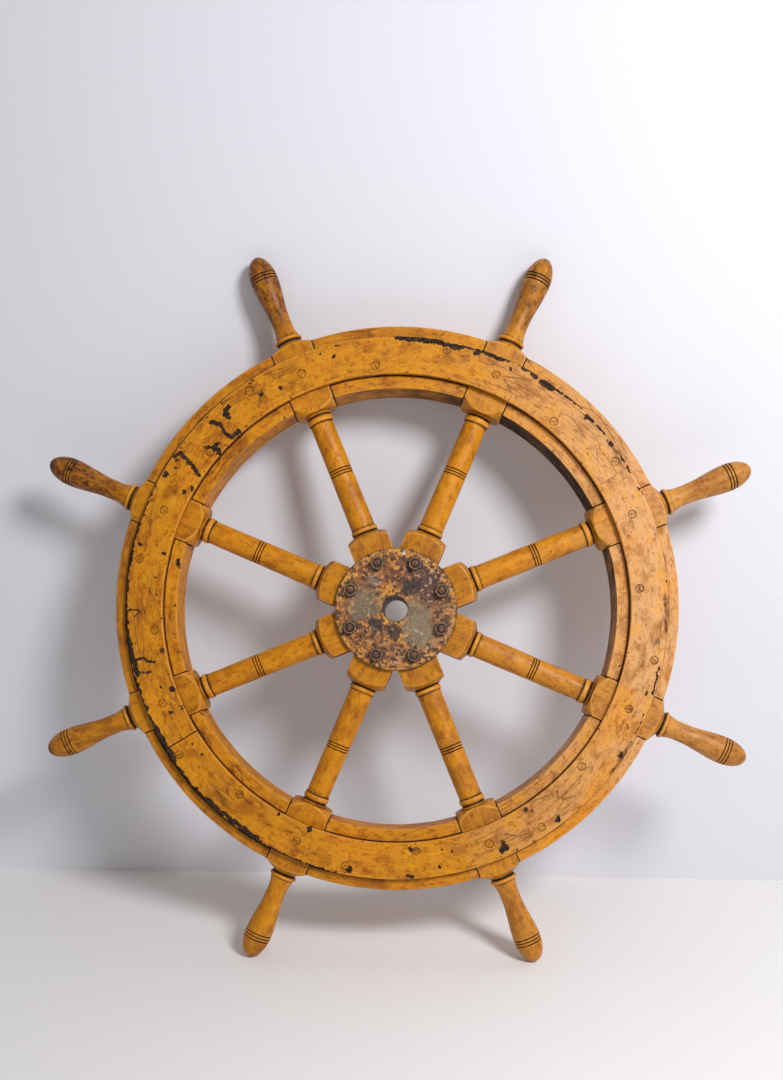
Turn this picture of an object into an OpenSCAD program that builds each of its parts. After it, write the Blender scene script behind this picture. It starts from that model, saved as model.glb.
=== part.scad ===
// Ship's wheel with eight turned spokes.
// The wheel stands upright: its spin axis runs along Y, its front face looks
// towards -Y and +Z is up. The origin is the centre of the hub bore, halfway
// through the hub. Every piece is drawn lying flat, with +Z towards the
// helmsman, and module upright() stands it up. Sizes are in millimetres.

/* [Rim] */
// Inside diameter of the rim, across the inner faces of the middle felloes
rim_inner_d = 698; // [640:2:860]
// Width of a middle felloe, from the inner to the outer face of the rim
felloe_w = 98; // [90:1:120]
// Width of the facing and after felloes
facing_w = 58; // [52:1:64]
// Thickness of the facing and after felloes
facing_t = 12; // [8:0.5:18]
// Step from the rim's inner face to the inner edge of a facing felloe
facing_step = 21; // [12:0.5:24]
// Chamfer worn on the edges of the felloes
felloe_chamfer = 1.5; // [0.5:0.1:3]
// Angle from a spoke to the butt joint of two facing felloes
facing_joint_a = 9.5; // [9:0.5:9.5]

/* [Spokes] */
// Side of the square stock that a spoke is turned from, also the felloes' thickness
stock = 66; // [60:1:74]
// How far a hub block stands out past the hub plate before its shoulder
hub_block_reach = 30; // [26:1:45]
// Length of the turned shoulder on the corners of a hub block
hub_shoulder_l = 9; // [4:0.5:12]
// Length of the dome between a hub block's shoulder and its bead
hub_dome_l = 7; // [2:0.5:8]
// Diameter of the shank beside the hub bead
shank_hub_d = 39.5; // [32:0.5:42]
// Diameter of the shank beside the rim bead
shank_rim_d = 37.5; // [32:0.5:42]
// How far the hub bead stands out of the shank
hub_bead_h = 2.2; // [0.5:0.1:3]
// How far the rim bead stands out of the shank
rim_bead_h = 2.2; // [0.5:0.1:3]
// Width of the bead beside the hub block
hub_bead_w = 8; // [4:0.5:10]
// Width of the bead beside the rim block
rim_bead_w = 10; // [6:0.5:14]
// Width of the half round that the rim block starts from
half_round_w = 3; // [3:0.5:6]
// How far the half round stands out of the cove
half_round_h = 3; // [1:0.1:4]
// Width of the cove between the rim bead and the half round
cove_w = 3; // [3:0.5:6]
// How far a rim block stands in from the rim's inner face
block_inner_reach = 10; // [6:0.5:14]
// Length of the turned shoulder on the inner corners of a rim block
inner_shoulder_l = 13.5; // [8:0.5:16]
// How far a rim block stands out from the rim's outer face
block_outer_reach = 5.5; // [4:0.5:14]
// Length of the turned shoulder on the outer corners of a rim block
outer_shoulder_l = 6.5; // [5:0.5:14]
// Distance of the middle groove of a shank from the rim's inner face
shank_groove_in = 110; // [70:1:150]

/* [Handles] */
// Length of a handle from the rim's outer face to its tip
handle_l = 163; // [145:1:190]
// Length of the dome between the rim block and the collar
neck_dome_l = 8; // [4:0.5:10]
// Length of the neck between the dome and the collar
neck_l = 3; // [2:0.5:8]
// Diameter of the neck
neck_d = 38; // [37:0.5:40]
// Width of the collar bead
collar_w = 6.5; // [5:0.5:10]
// Diameter of the collar bead
collar_d = 44.2; // [40:0.2:46]
// Diameter of the handle where it leaves the collar
flare_d = 37.5; // [33:0.5:39]
// Diameter of the waist, the thinnest place of the handle
waist_d = 31.4; // [26:0.2:33]
// Length of the flare from the collar down to the waist
flare_l = 17; // [10:1:20]
// Length of the waist
waist_l = 15; // [8:1:18]
// Diameter of the swell, the thickest place of the grip
swell_d = 44.4; // [40:0.2:50]
// Length of the rounded end beyond the swell
end_dome_l = 40; // [30:1:44]
// Distance of the middle groove of a grip from the tip
grip_groove_in = 37.5; // [34:0.5:40]

/* [Grooves] */
// Width of a turned groove
groove_w = 2.4; // [1.5:0.1:3]
// Depth of a turned groove
groove_depth = 1.2; // [0.6:0.1:2]
// Spacing of the three grooves on a shank
shank_groove_pitch = 4.5; // [3.5:0.1:7]
// Spacing of the three grooves on a grip
grip_groove_pitch = 5; // [4:0.1:7]

/* [Hub] */
// Diameter of the two hub plates
plate_d = 194; // [184:1:216]
// Thickness of a hub plate
plate_t = 8; // [5:0.5:12]
// Chamfer round the outer edge of a hub plate
plate_chamfer = 1; // [0.2:0.1:2]
// Diameter of the bore for the shaft
bore_d = 38; // [30:1:44]
// Wall of the bush between the two plates
bush_wall = 6; // [4:0.5:9]
// Diameter of the circle of hub bolts
bolt_circle_d = 156; // [140:1:160]
// Diameter of a hub bolt
bolt_d = 12; // [10:0.5:14]
// Width across the flats of a nut and of a bolt head
nut_af = 19; // [18:0.5:24]
// Height of a nut
nut_h = 10; // [8:0.5:13]
// Height of a bolt head
bolt_head_h = 8; // [6:0.5:10]
// Chamfer on the corners of a nut and of a bolt head
hex_chamfer = 1.2; // [0.4:0.1:2]
// How far a bolt's end stands out of its nut
bolt_end_l = 2.5; // [1:0.5:6]

/* [Screws] */
// Head diameter of a rim screw
screw_head_d = 12.6; // [10:0.2:14]
// Shank diameter of a rim screw
screw_d = 6; // [5:0.5:7]
// Length of a rim screw under the face of its felloe
screw_l = 38; // [32:1:44]
// Depth of a screw head below the felloe's face
screw_sink = 1.2; // [0.2:0.1:2]
// Width of the driver slot
slot_w = 1.6; // [1:0.1:2]
// Depth of the driver slot
slot_depth = 1.4; // [0.8:0.1:2]
// How far the screws stagger to each side of the felloe's middle line
screw_stagger = 15; // [8:0.5:16]
// Angle from a spoke to the outer staggered screw
screw_lead_a = 12; // [12:0.5:14]
// Angle from a spoke back to the inner staggered screw
screw_trail_a = 17; // [14:0.5:19]

/* [Fits] */
// Radial clearance of a bolt in its hole
bolt_clearance = 0.35; // [0.2:0.05:0.6]
// Radial clearance of a nut's thread, a screw and the bush
close_fit = 0.15; // [0.05:0.05:0.3]

/* [Hidden] */
$fn = 96;
spoke_count = 8;
quarter_count = 4;
pitch_a = 360 / spoke_count;
first_spoke_a = pitch_a / 2;
quarter_a = 360 / quarter_count;
overrun = 1;

felloe_inner_r = rim_inner_d / 2;
felloe_outer_r = felloe_inner_r + felloe_w;
facing_inner_r = felloe_inner_r + facing_step;
facing_mid_r = facing_inner_r + facing_w / 2;
facing_outer_r = facing_inner_r + facing_w;
felloe_face = stock / 2;
facing_face = felloe_face + facing_t;
tip_r = felloe_outer_r + handle_l;

// The blank radius clears the corners of the square stock.
side_r = stock / 2;
corner_r = side_r * sqrt(2);
blank_r = corner_r + 2 * overrun;

// Stations along a spoke, as distances from the wheel's centre
hub_shoulder_x = plate_d / 2 + hub_block_reach;
hub_neck_x = hub_shoulder_x + hub_dome_l;
shank_start_x = hub_neck_x + hub_bead_w;
inner_shoulder_x = felloe_inner_r - block_inner_reach;
half_round_x = inner_shoulder_x - half_round_w;
cove_x = half_round_x - cove_w;
shank_end_x = cove_x - rim_bead_w;
outer_shoulder_x = felloe_outer_r + block_outer_reach;
neck_x = outer_shoulder_x + neck_dome_l;
collar_x = neck_x + neck_l;
collar_end_x = collar_x + collar_w;
waist_x = collar_end_x + flare_l;
waist_end_x = waist_x + waist_l;
swell_x = tip_r - end_dome_l;

hub_face = stock / 2 + plate_t;
bush_r = bore_d / 2 + bush_wall;
bolt_circle_r = bolt_circle_d / 2;
bolt_hole_r = bolt_d / 2 + bolt_clearance;
bolt_length = 2 * hub_face + nut_h + bolt_end_l;
hex_r = nut_af / 2 / cos(30);
screw_head_h = (screw_head_d - screw_d) / 2;
screw_point_l = 2 * screw_d;

wood = "#c98a26";
dark_wood = "#b87c22";
old_iron = "#7a4a2c";
bare_iron = "#6b655c";

function spoke_a(i) = first_spoke_a + (i - 1) * pitch_a;

// A smooth step from a to b as t goes from 0 to 1
function ease(a, b, t) = a + (b - a) * t * t * (3 - 2 * t);

function shank_r(x) =
    let (t = (x - shank_start_x) / (shank_end_x - shank_start_x))
    (shank_hub_d + (shank_rim_d - shank_hub_d) * t) / 2;

// Radius of the grip at a station beyond the collar
function grip_r(x) =
    x < waist_x ? ease(flare_d, waist_d, (x - collar_end_x) / flare_l) / 2
    : x < waist_end_x ? waist_d / 2
    : x < swell_x ? ease(waist_d, swell_d, (x - waist_end_x) / (swell_x - waist_end_x)) / 2
    : swell_d / 2 * sqrt(1 - pow((x - swell_x) / end_dome_l, 2));

// Outline points are [radius, station]. A bead is a flat arch between two stations.
function bead(from_x, width, base_r, height, steps = 6) =
    [for (k = [0 : steps])
        let (a = 180 * k / steps)
        [base_r + height * sin(a), from_x + width * (1 - cos(a)) / 2]];

function groove(x, r) = [
    [r, x - groove_w / 2],
    [r - groove_depth, x],
    [r, x + groove_w / 2]
];

function shank_grooves() =
    [for (k = [-1 : 1])
        let (x = felloe_inner_r - shank_groove_in + k * shank_groove_pitch)
        each groove(x, shank_r(x))];

function grip_grooves() =
    [for (k = [-1 : 1])
        let (x = tip_r - grip_groove_in + k * grip_groove_pitch)
        each groove(x, grip_r(x))];

grip_groove_start_x = tip_r - grip_groove_in - grip_groove_pitch - groove_w;
grip_groove_end_x = tip_r - grip_groove_in + grip_groove_pitch + groove_w;

// The grip is followed in even steps up to its grooves, then round the end by angle.
function grip_body(steps = 20) =
    [for (k = [0 : steps])
        let (x = collar_end_x + (grip_groove_start_x - collar_end_x) * k / steps)
        [grip_r(x), x]];

function grip_end(steps = 9) =
    let (from_a = asin((grip_groove_end_x - swell_x) / end_dome_l))
    [for (k = [0 : steps])
        let (a = from_a + (90 - from_a) * k / steps)
        [max(0, swell_d / 2 * cos(a)), swell_x + end_dome_l * sin(a)]];

// The whole turned outline of a spoke. Where it is wider than the square
// stock, the stock's own flat sides remain and form the hub and rim blocks.
function turned_outline() = concat(
    [[0, 0], [blank_r, 0], [blank_r, hub_shoulder_x - hub_shoulder_l],
     [corner_r, hub_shoulder_x - hub_shoulder_l],
     [side_r, hub_shoulder_x]],
    bead(hub_neck_x, hub_bead_w, shank_hub_d / 2, hub_bead_h),
    shank_grooves(),
    bead(shank_end_x, rim_bead_w, shank_rim_d / 2, rim_bead_h),
    [[shank_rim_d / 2, half_round_x]],
    bead(half_round_x, half_round_w, shank_rim_d / 2 + half_round_h / 2, half_round_h / 2, 4),
    [[side_r, inner_shoulder_x],
     [corner_r, inner_shoulder_x + inner_shoulder_l],
     [blank_r, inner_shoulder_x + inner_shoulder_l],
     [blank_r, outer_shoulder_x - outer_shoulder_l],
     [corner_r, outer_shoulder_x - outer_shoulder_l],
     [side_r, outer_shoulder_x],
     [neck_d / 2, neck_x],
     [neck_d / 2, collar_x]],
    bead(collar_x, collar_w, neck_d / 2, (collar_d - neck_d) / 2),
    grip_body(),
    grip_grooves(),
    grip_end()
);

module upright() {
    rotate([90, 0, 0]) children();
}

// Repeats its children at every screw of one side of the rim.
module at_screws() {
    for (i = [1 : spoke_count]) {
        rotate(spoke_a(i)) translate([facing_mid_r, 0, 0]) children();
        rotate(spoke_a(i) + screw_lead_a)
            translate([facing_mid_r + screw_stagger, 0, 0]) children();
        rotate(spoke_a(i) - screw_trail_a)
            translate([facing_mid_r - screw_stagger, 0, 0]) children();
    }
}

module at_bolts() {
    for (i = [1 : spoke_count])
        rotate(spoke_a(i)) translate([bolt_circle_r, 0, 0]) children();
}

// A countersunk screw outline, grown on all sides by a clearance
module screw_outline(grow = 0) {
    head_r = screw_head_d / 2 + grow;
    shank_r = screw_d / 2 + grow;
    end = screw_l + grow;
    polygon([
        [0, 0], [head_r, 0],
        [shank_r, -screw_head_h], [shank_r, screw_point_l - end],
        [0, -end]
    ]);
}

module rim_screw() {
    difference() {
        translate([0, 0, facing_face - screw_sink])
            rotate_extrude() screw_outline();
        translate([-screw_head_d, -slot_w / 2, facing_face - screw_sink - slot_depth])
            cube([2 * screw_head_d, slot_w, slot_depth + overrun]);
    }
}

// The hole a rim screw sits in: a pocket for its head, a cone and a pilot bore
module screw_hole() {
    translate([0, 0, facing_face - screw_sink]) {
        rotate_extrude() screw_outline(close_fit);
        cylinder(r = screw_head_d / 2 + close_fit, h = screw_sink + overrun);
    }
}

module both_sides() {
    children();
    mirror([0, 0, 1]) children();
}

module spoke(i) {
    mitre_x = side_r / tan(pitch_a / 2);
    color(wood) upright() rotate(spoke_a(i)) difference() {
        intersection() {
            linear_extrude(stock, center = true)
                polygon([
                    [0, 0], [mitre_x, -side_r], [tip_r + overrun, -side_r],
                    [tip_r + overrun, side_r], [mitre_x, side_r]
                ]);
            rotate([0, 90, 0]) rotate_extrude() polygon(turned_outline());
        }
        cylinder(r = bush_r + close_fit, h = stock + 2 * overrun, center = true);
        translate([bolt_circle_r, 0, 0])
            cylinder(r = bolt_hole_r, h = stock + 2 * overrun, center = true);
        both_sides() translate([facing_mid_r, 0, 0]) screw_hole();
    }
}

// A middle felloe fills the rim between the rim blocks of spokes i and i + 1.
module middle_felloe(i) {
    reach = 2 * felloe_outer_r;
    half_a = pitch_a / 2;
    c = felloe_chamfer;
    color(wood) upright() difference() {
        intersection() {
            rotate_extrude() polygon([
                [felloe_inner_r, c - felloe_face], [felloe_inner_r + c, -felloe_face],
                [felloe_outer_r - c, -felloe_face], [felloe_outer_r, c - felloe_face],
                [felloe_outer_r, felloe_face - c], [felloe_outer_r - c, felloe_face],
                [felloe_inner_r + c, felloe_face], [felloe_inner_r, felloe_face - c]
            ]);
            rotate(spoke_a(i) + half_a) translate([side_r / sin(half_a), 0, 0])
                linear_extrude(stock + 2 * overrun, center = true)
                    polygon([
                        [0, 0],
                        [reach * cos(half_a), -reach * sin(half_a)],
                        [reach * cos(half_a), reach * sin(half_a)]
                    ]);
        }
        rotate(spoke_a(i) + screw_lead_a) both_sides()
            translate([facing_mid_r + screw_stagger, 0, 0]) screw_hole();
        rotate(spoke_a(i + 1) - screw_trail_a) both_sides()
            translate([facing_mid_r - screw_stagger, 0, 0]) screw_hole();
    }
}

// A quarter of the ring that is screwed over the joints of the middle felloes
module facing_quarter(q) {
    c = felloe_chamfer;
    difference() {
        rotate(spoke_a(1) + facing_joint_a + (q - 1) * quarter_a)
            rotate_extrude(angle = quarter_a) polygon([
                [facing_inner_r, felloe_face], [facing_outer_r, felloe_face],
                [facing_outer_r, facing_face - c], [facing_outer_r - c, facing_face],
                [facing_inner_r + c, facing_face], [facing_inner_r, facing_face - c]
            ]);
        at_screws() screw_hole();
    }
}

module facing_felloe(q) {
    color(wood) upright() facing_quarter(q);
}

module after_felloe(q) {
    color(dark_wood) upright() mirror([0, 0, 1]) facing_quarter(q);
}

module hub_plate() {
    difference() {
        rotate_extrude() polygon([
            [0, felloe_face], [plate_d / 2, felloe_face],
            [plate_d / 2, hub_face - plate_chamfer], [plate_d / 2 - plate_chamfer, hub_face],
            [0, hub_face]
        ]);
        translate([0, 0, felloe_face - overrun])
            cylinder(r = bore_d / 2, h = plate_t + 2 * overrun);
        at_bolts() translate([0, 0, felloe_face - overrun])
            cylinder(r = bolt_hole_r, h = plate_t + 2 * overrun);
    }
}

module front_hub_plate() {
    color(old_iron) upright() hub_plate();
}

module rear_hub_plate() {
    color(old_iron) upright() mirror([0, 0, 1]) hub_plate();
}

// The bush keeps the plates apart and lines the bore through the spoke ends.
module hub_bush() {
    color(bare_iron) upright() difference() {
        cylinder(r = bush_r, h = stock, center = true);
        cylinder(r = bore_d / 2, h = stock + 2 * overrun, center = true);
    }
}

// A hexagon whose outer corners are turned down to a round face
module hexagon(height) {
    intersection() {
        cylinder(r = hex_r, h = height, $fn = 6);
        rotate_extrude() polygon([
            [0, 0], [hex_r + overrun, 0], [hex_r + overrun, height - hex_chamfer - overrun],
            [hex_r - hex_chamfer, height], [0, height]
        ]);
    }
}

module hub_bolts() {
    color(bare_iron) upright() at_bolts() {
        translate([0, 0, -hub_face]) cylinder(r = bolt_d / 2, h = bolt_length);
        translate([0, 0, -hub_face]) mirror([0, 0, 1]) hexagon(bolt_head_h);
    }
}

module hub_nuts() {
    color(bare_iron) upright() at_bolts() translate([0, 0, hub_face])
        difference() {
            hexagon(nut_h);
            translate([0, 0, -overrun])
                cylinder(r = bolt_d / 2 + close_fit, h = nut_h + 2 * overrun);
        }
}

module front_rim_screws() {
    color(bare_iron) upright() at_screws() rim_screw();
}

module rear_rim_screws() {
    color(bare_iron) upright() mirror([0, 0, 1]) at_screws() rim_screw();
}

for (i = [1 : spoke_count]) {
    spoke(i);
    middle_felloe(i);
}
for (q = [1 : quarter_count]) {
    facing_felloe(q);
    after_felloe(q);
}
front_hub_plate();
rear_hub_plate();
hub_bush();
hub_bolts();
hub_nuts();
front_rim_screws();
rear_rim_screws();
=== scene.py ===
# %% [markdown]
# # An old ship's wheel, piece by piece
# This lesson dresses a ship's wheel. Its construction comes in as a fixed frame, in
# metres: X runs to the right, Z up, and the front of the wheel looks towards -Y. The
# wheel's centre is the origin. Each wooden and iron piece is then modelled again with
# the small irregularities and the finish that sixty years on deck have given it.

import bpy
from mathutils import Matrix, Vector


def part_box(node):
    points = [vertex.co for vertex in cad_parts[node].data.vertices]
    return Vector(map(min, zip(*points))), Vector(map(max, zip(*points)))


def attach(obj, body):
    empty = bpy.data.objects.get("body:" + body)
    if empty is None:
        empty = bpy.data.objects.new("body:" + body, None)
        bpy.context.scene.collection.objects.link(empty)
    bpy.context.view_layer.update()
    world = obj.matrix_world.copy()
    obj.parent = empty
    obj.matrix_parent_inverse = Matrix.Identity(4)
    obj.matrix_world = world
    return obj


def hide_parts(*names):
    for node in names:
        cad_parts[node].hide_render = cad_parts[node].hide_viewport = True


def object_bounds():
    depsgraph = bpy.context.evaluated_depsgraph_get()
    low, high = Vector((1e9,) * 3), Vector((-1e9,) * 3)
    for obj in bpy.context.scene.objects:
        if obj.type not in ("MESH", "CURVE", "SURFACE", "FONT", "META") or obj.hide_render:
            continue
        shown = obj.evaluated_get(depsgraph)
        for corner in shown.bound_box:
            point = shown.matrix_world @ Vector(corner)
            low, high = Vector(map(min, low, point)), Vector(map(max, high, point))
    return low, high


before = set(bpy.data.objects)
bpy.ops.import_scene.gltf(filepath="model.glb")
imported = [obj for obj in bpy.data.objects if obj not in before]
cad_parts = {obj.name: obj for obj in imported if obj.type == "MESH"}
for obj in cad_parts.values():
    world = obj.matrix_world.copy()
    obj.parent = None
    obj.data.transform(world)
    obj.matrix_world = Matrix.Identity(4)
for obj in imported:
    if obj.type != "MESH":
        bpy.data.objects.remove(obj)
cad_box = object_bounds()
print("nodes in the frame:", len(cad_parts))

# %% [markdown]
# ## Units and angles
# Everything on the bench was measured in millimetres, and Blender works in metres, so
# one short function turns the one into the other. Angles on the wheel are counted
# from its right-hand side towards the top, as seen from the front. A turn about Y by
# a positive angle would go the other way round, hence the minus sign.

# %% Tools for sizes and angles
import math
import random

import bmesh
import bpy
import numpy as np
from mathutils import Matrix, Vector, noise


def mm(value):
    return value / 1000


def wheel_turn(angle_deg):
    """Turns a piece that lies along +X round the wheel's axis to an angle."""
    return Matrix.Rotation(-math.radians(angle_deg), 4, "Y")


SPOKES = 8
PITCH = 360 / SPOKES
FIRST_SPOKE = PITCH / 2


def spoke_angle(index):
    return FIRST_SPOKE + (index - 1) * PITCH


print("spokes at", [spoke_angle(i) for i in range(1, SPOKES + 1)])

# %% [markdown]
# ## Sizes that the frame gives
# The felloes and the facing ring are concentric with the bore, so their radii and
# faces can be read off the boxes of the nodes. Reading them keeps the dressed pieces
# in step with the construction.

# %% Read the main sizes
facing_low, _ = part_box("facing_felloe_1")
plate_low, plate_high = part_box("front_hub_plate")
FELLOE_FACE = mm(33)
FACING_FACE = -facing_low.y
PLATE_FACE = -plate_low.y
PLATE_R = plate_high.x
print("felloe, facing and plate faces at", FELLOE_FACE, round(FACING_FACE, 4), round(PLATE_FACE, 4))

RIM_INNER, RIM_OUTER = mm(349), mm(447)
FACING_INNER, FACING_OUTER = mm(370), mm(428)
FACING_MID = (FACING_INNER + FACING_OUTER) / 2
SIDE = mm(33)
CORNER = SIDE * math.sqrt(2)
BORE_R, BUSH_R = mm(19), mm(25.15)
BOLT_CIRCLE = mm(78)
FACING_JOINT, OPEN_JOINT = 32, 212

# %% [markdown]
# ## Growing a mesh
# Most pieces here begin as an outline that is spun, either a full turn on the lathe
# axis or an arc round the hub. These few helpers draw the outline, close the ends,
# soften the arrises and turn the result into an object. Every helper works on a
# bmesh, because its operators leave clean faces to carry on from.

# %% Draw, spin and saw
def chain(bm, points, closed=False):
    """Joins points into a line of edges, the start of a spun shape."""
    verts = [bm.verts.new(p) for p in points]
    pairs = list(zip(verts, verts[1:] + verts[:1])) if closed else list(zip(verts, verts[1:]))
    return [bm.edges.new(pair) for pair in pairs]


def spin(bm, edges, axis, angle=2 * math.pi, *, steps):
    """Spins edges about an axis through the wheel's centre. A full turn closes on itself."""
    verts = list(dict.fromkeys(v for e in edges for v in e.verts))
    bmesh.ops.spin(bm, geom=verts + edges, cent=(0, 0, 0), axis=axis, dvec=(0, 0, 0), angle=angle,
                   steps=steps, use_merge=abs(angle - 2 * math.pi) < 1e-6)


def close_holes(bm):
    """Fills every open edge loop with one face."""
    bmesh.ops.edgeloop_fill(bm, edges=[e for e in bm.edges if e.is_boundary])


def divide(bm, point, normal, clear_outer=False):
    """Cuts edges and faces where a plane passes through them."""
    bmesh.ops.bisect_plane(bm, geom=bm.verts[:] + bm.edges[:] + bm.faces[:], dist=1e-6,
                           plane_co=point, plane_no=normal, clear_outer=clear_outer)


def cut(bm, point, outwards):
    """Saws off what lies beyond a plane and closes the cut."""
    divide(bm, point, outwards, clear_outer=True)
    close_holes(bm)


def tidy(bm):
    """Joins points that lie on each other, and turns every face outwards."""
    bmesh.ops.remove_doubles(bm, verts=bm.verts, dist=mm(0.01))
    bmesh.ops.recalc_face_normals(bm, faces=bm.faces)


# %% Soften, roughen and shade
def sharp_edges(bm, angle_deg):
    limit = math.radians(angle_deg)
    return [e for e in bm.edges if e.is_manifold and e.calc_face_angle() > limit]


def soften(bm, edges, width, segments=2):
    """Bevels arrises and marks the new faces' points as rubbed."""
    made = bmesh.ops.bevel(bm, geom=edges, offset=width, offset_type="OFFSET", affect="EDGES",
                           segments=segments, profile=0.5, material=-1, clamp_overlap=False)
    layer = bm.verts.layers.float.get("worn") or bm.verts.layers.float.new("worn")
    for face in made["faces"]:
        for vert in face.verts:
            vert[layer] = 1.0


def roughen(bm, depth, size, seed):
    """Presses the surface in by up to depth, in dents of about a size."""
    shift = Vector((seed * 3.1, seed * 7.7, seed * 1.3))
    bm.normal_update()
    moves = [(v, v.normal * depth * (0.5 + 0.5 * noise.noise(v.co / size + shift))) for v in bm.verts]
    for vert, move in moves:
        vert.co -= move


def as_object(bm, name, sharp=32):
    """Ends the bmesh, shades it smooth but for its sharp edges, and links the object."""
    mesh = bpy.data.meshes.new(name)
    bm.to_mesh(mesh)
    bm.free()
    mesh.shade_smooth()
    mesh.set_sharp_from_angle(angle=math.radians(sharp))
    piece = bpy.data.objects.new(name, mesh)
    bpy.context.scene.collection.objects.link(piece)
    return piece


# %% [markdown]
# ## Marks on the points
# A mesh can carry a number for each of its points, and a material can read it. That is
# how grime gets into a crevice and wear onto an edge, without a picture of either. Most
# marks fade softly round a place, so one helper gives the shape of that fading.

# %% Mark points and dress a piece
def points_of(piece):
    co = np.zeros(len(piece.data.vertices) * 3)
    piece.data.vertices.foreach_get("co", co)
    return co.reshape(-1, 3)


def mark(piece, name, values):
    """Stores one number, or one vector, for each point of the mesh."""
    kind, field = ("FLOAT", "value") if values.ndim == 1 else ("FLOAT_VECTOR", "vector")
    attributes = piece.data.attributes
    attribute = attributes.get(name) or attributes.new(name, kind, "POINT")
    attribute.data.foreach_set(field, values.astype(np.float32).ravel())


def marked(piece, name):
    values = np.zeros(len(piece.data.vertices), np.float32)
    if name in piece.data.attributes:
        piece.data.attributes[name].data.foreach_get("value", values)
    return values.astype(float)


def near(values, target, width):
    """1 at the target, falling softly to nothing over about two widths."""
    return np.exp(-((values - target) / width) ** 2)


def dress(piece, material, slot, *nodes):
    """Gives a piece its finish and its place in the frame."""
    piece.data.materials.clear()
    piece.data.materials.append(material)
    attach(piece, "root")
    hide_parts(*nodes)
    print(piece.name, len(piece.data.polygons), "faces")


# %% [markdown]
# ## Building a material
# Colours are written as they look on a screen, in sRGB hex, and one function turns
# them to the linear values that the shader works with. One more function adds a node,
# sets it up and links it, and every material below is made with it alone.

# %% Tools for materials
def colour(code):
    """sRGB hex to linear RGBA."""
    parts = [int(code[i:i + 2], 16) / 255 for i in (1, 3, 5)]
    return [c / 12.92 if c <= 0.04045 else ((c + 0.055) / 1.055) ** 2.4 for c in parts] + [1.0]


def add(tree, kind, inputs=None, **settings):
    """Adds a node. inputs maps a socket's name or number to a value, a node or another socket."""
    new = tree.nodes.new("ShaderNode" + kind)
    for name, value in settings.items():
        setattr(new, name, value)
    for key, value in (inputs or {}).items():
        if isinstance(value, bpy.types.Node):
            value = next(socket for socket in value.outputs if socket.enabled)
        if isinstance(value, bpy.types.NodeSocket):
            tree.links.new(value, new.inputs[key])
        else:
            new.inputs[key].default_value = value
    return new


def new_material(name):
    material = bpy.data.materials.new(name)
    material.use_nodes = True
    material.node_tree.nodes.clear()
    return material, material.node_tree


# Sockets told apart by number: of a Mix node that blends colours, of a Map Range node,
# and of a Math node that multiplies two values and adds a third
MIX, A, B = 0, 6, 7
START, FULL, TO_START, TO_FULL = 1, 2, 3, 4
ONE, TWO, PLUS = 0, 1, 2


def lay_coats(tree, field, tone, coats):
    """Lays each coat over the tone where its pattern lies between two values."""
    for key, start, full, strength, paint, *how in coats:
        amount = add(tree, "MapRange", {"Value": field[key], START: start, FULL: full,
                                        TO_FULL: strength})
        tone = add(tree, "Mix", {MIX: amount, A: tone, B: colour(paint)}, data_type="RGBA",
                   blend_type=how[0] if how else "MIX")
    return tone


# %% [markdown]
# ## The camera
# The photograph was taken from a little below and to the right of the hub, from just
# under two metres away. Its place was worked out from the eight handle tips, the
# shanks and the nuts. The lens is shifted upwards, because the wheel sits high in
# the frame.

# %% Set up the camera
LENS, SENSOR, LENS_SHIFT = 40, 36, 0.148
CAMERA_PLACE = Vector((0.043, -1.939, -0.103))
CAMERA_TILT, CAMERA_ROLL, CAMERA_PAN = 88.79, -0.695, 1.46


def put(name, data, place, turn):
    """Puts a camera or a lamp into the scene."""
    thing = bpy.data.objects.new(name, data)
    thing.location = place
    thing.rotation_euler = turn
    bpy.context.scene.collection.objects.link(thing)
    return thing


lens = bpy.data.cameras.new("camera")
lens.lens, lens.sensor_width, lens.shift_y = LENS, SENSOR, LENS_SHIFT
turn = [math.radians(a) for a in (CAMERA_TILT, CAMERA_ROLL, CAMERA_PAN)]
bpy.context.scene.camera = put("camera", lens, CAMERA_PLACE, turn)
bpy.context.scene.view_settings.view_transform = "Standard"
print("camera", round(CAMERA_PLACE.length, 3), "m from the hub")

# %% [markdown]
# ## Light and room
# The light is one soft lamp to the right, above and in front, as from a window, and a
# weak even light from all round. The wheel leans against the wall: its rim and
# its upper handles almost touch it, and its lower handles stand on the floor. In the
# wheel's own frame it is therefore the wall and the floor that are tilted, both by the
# same angle. The shadows are tight at the top and grow wide and soft downwards.
# Floor and wall are plain, and the wall lets rays through from behind, so that the
# back of the wheel can be looked at too.

# %% Paint for a plain room
CLOUD_SIZE, CLOUD_SHADE = 0.6, 0.97


def matt_paint(name, code, see_through_back=False):
    material, tree = new_material(name)
    where = add(tree, "TexCoord").outputs["Object"]
    cloud = add(tree, "TexNoise", {"Vector": where, "Scale": 1 / CLOUD_SIZE, "Detail": 3.0})
    base = colour(code)
    shade = [c * CLOUD_SHADE for c in base[:3]] + [1.0]
    tone = add(tree, "Mix", {MIX: cloud, A: base, B: shade}, data_type="RGBA")
    shader = add(tree, "BsdfPrincipled", {"Base Color": tone, "Roughness": 0.85})
    if see_through_back:
        backs = add(tree, "NewGeometry").outputs["Backfacing"]
        clear = add(tree, "BsdfTransparent")
        shader = add(tree, "MixShader", {0: backs, 1: shader, 2: clear})
    add(tree, "OutputMaterial", {"Surface": shader})
    return material


def flat_sheet(name, size, material, place):
    bm = bmesh.new()
    bmesh.ops.create_grid(bm, x_segments=1, y_segments=1, size=size, matrix=place)
    sheet = as_object(bm, name)
    sheet.data.materials.append(material)


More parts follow.
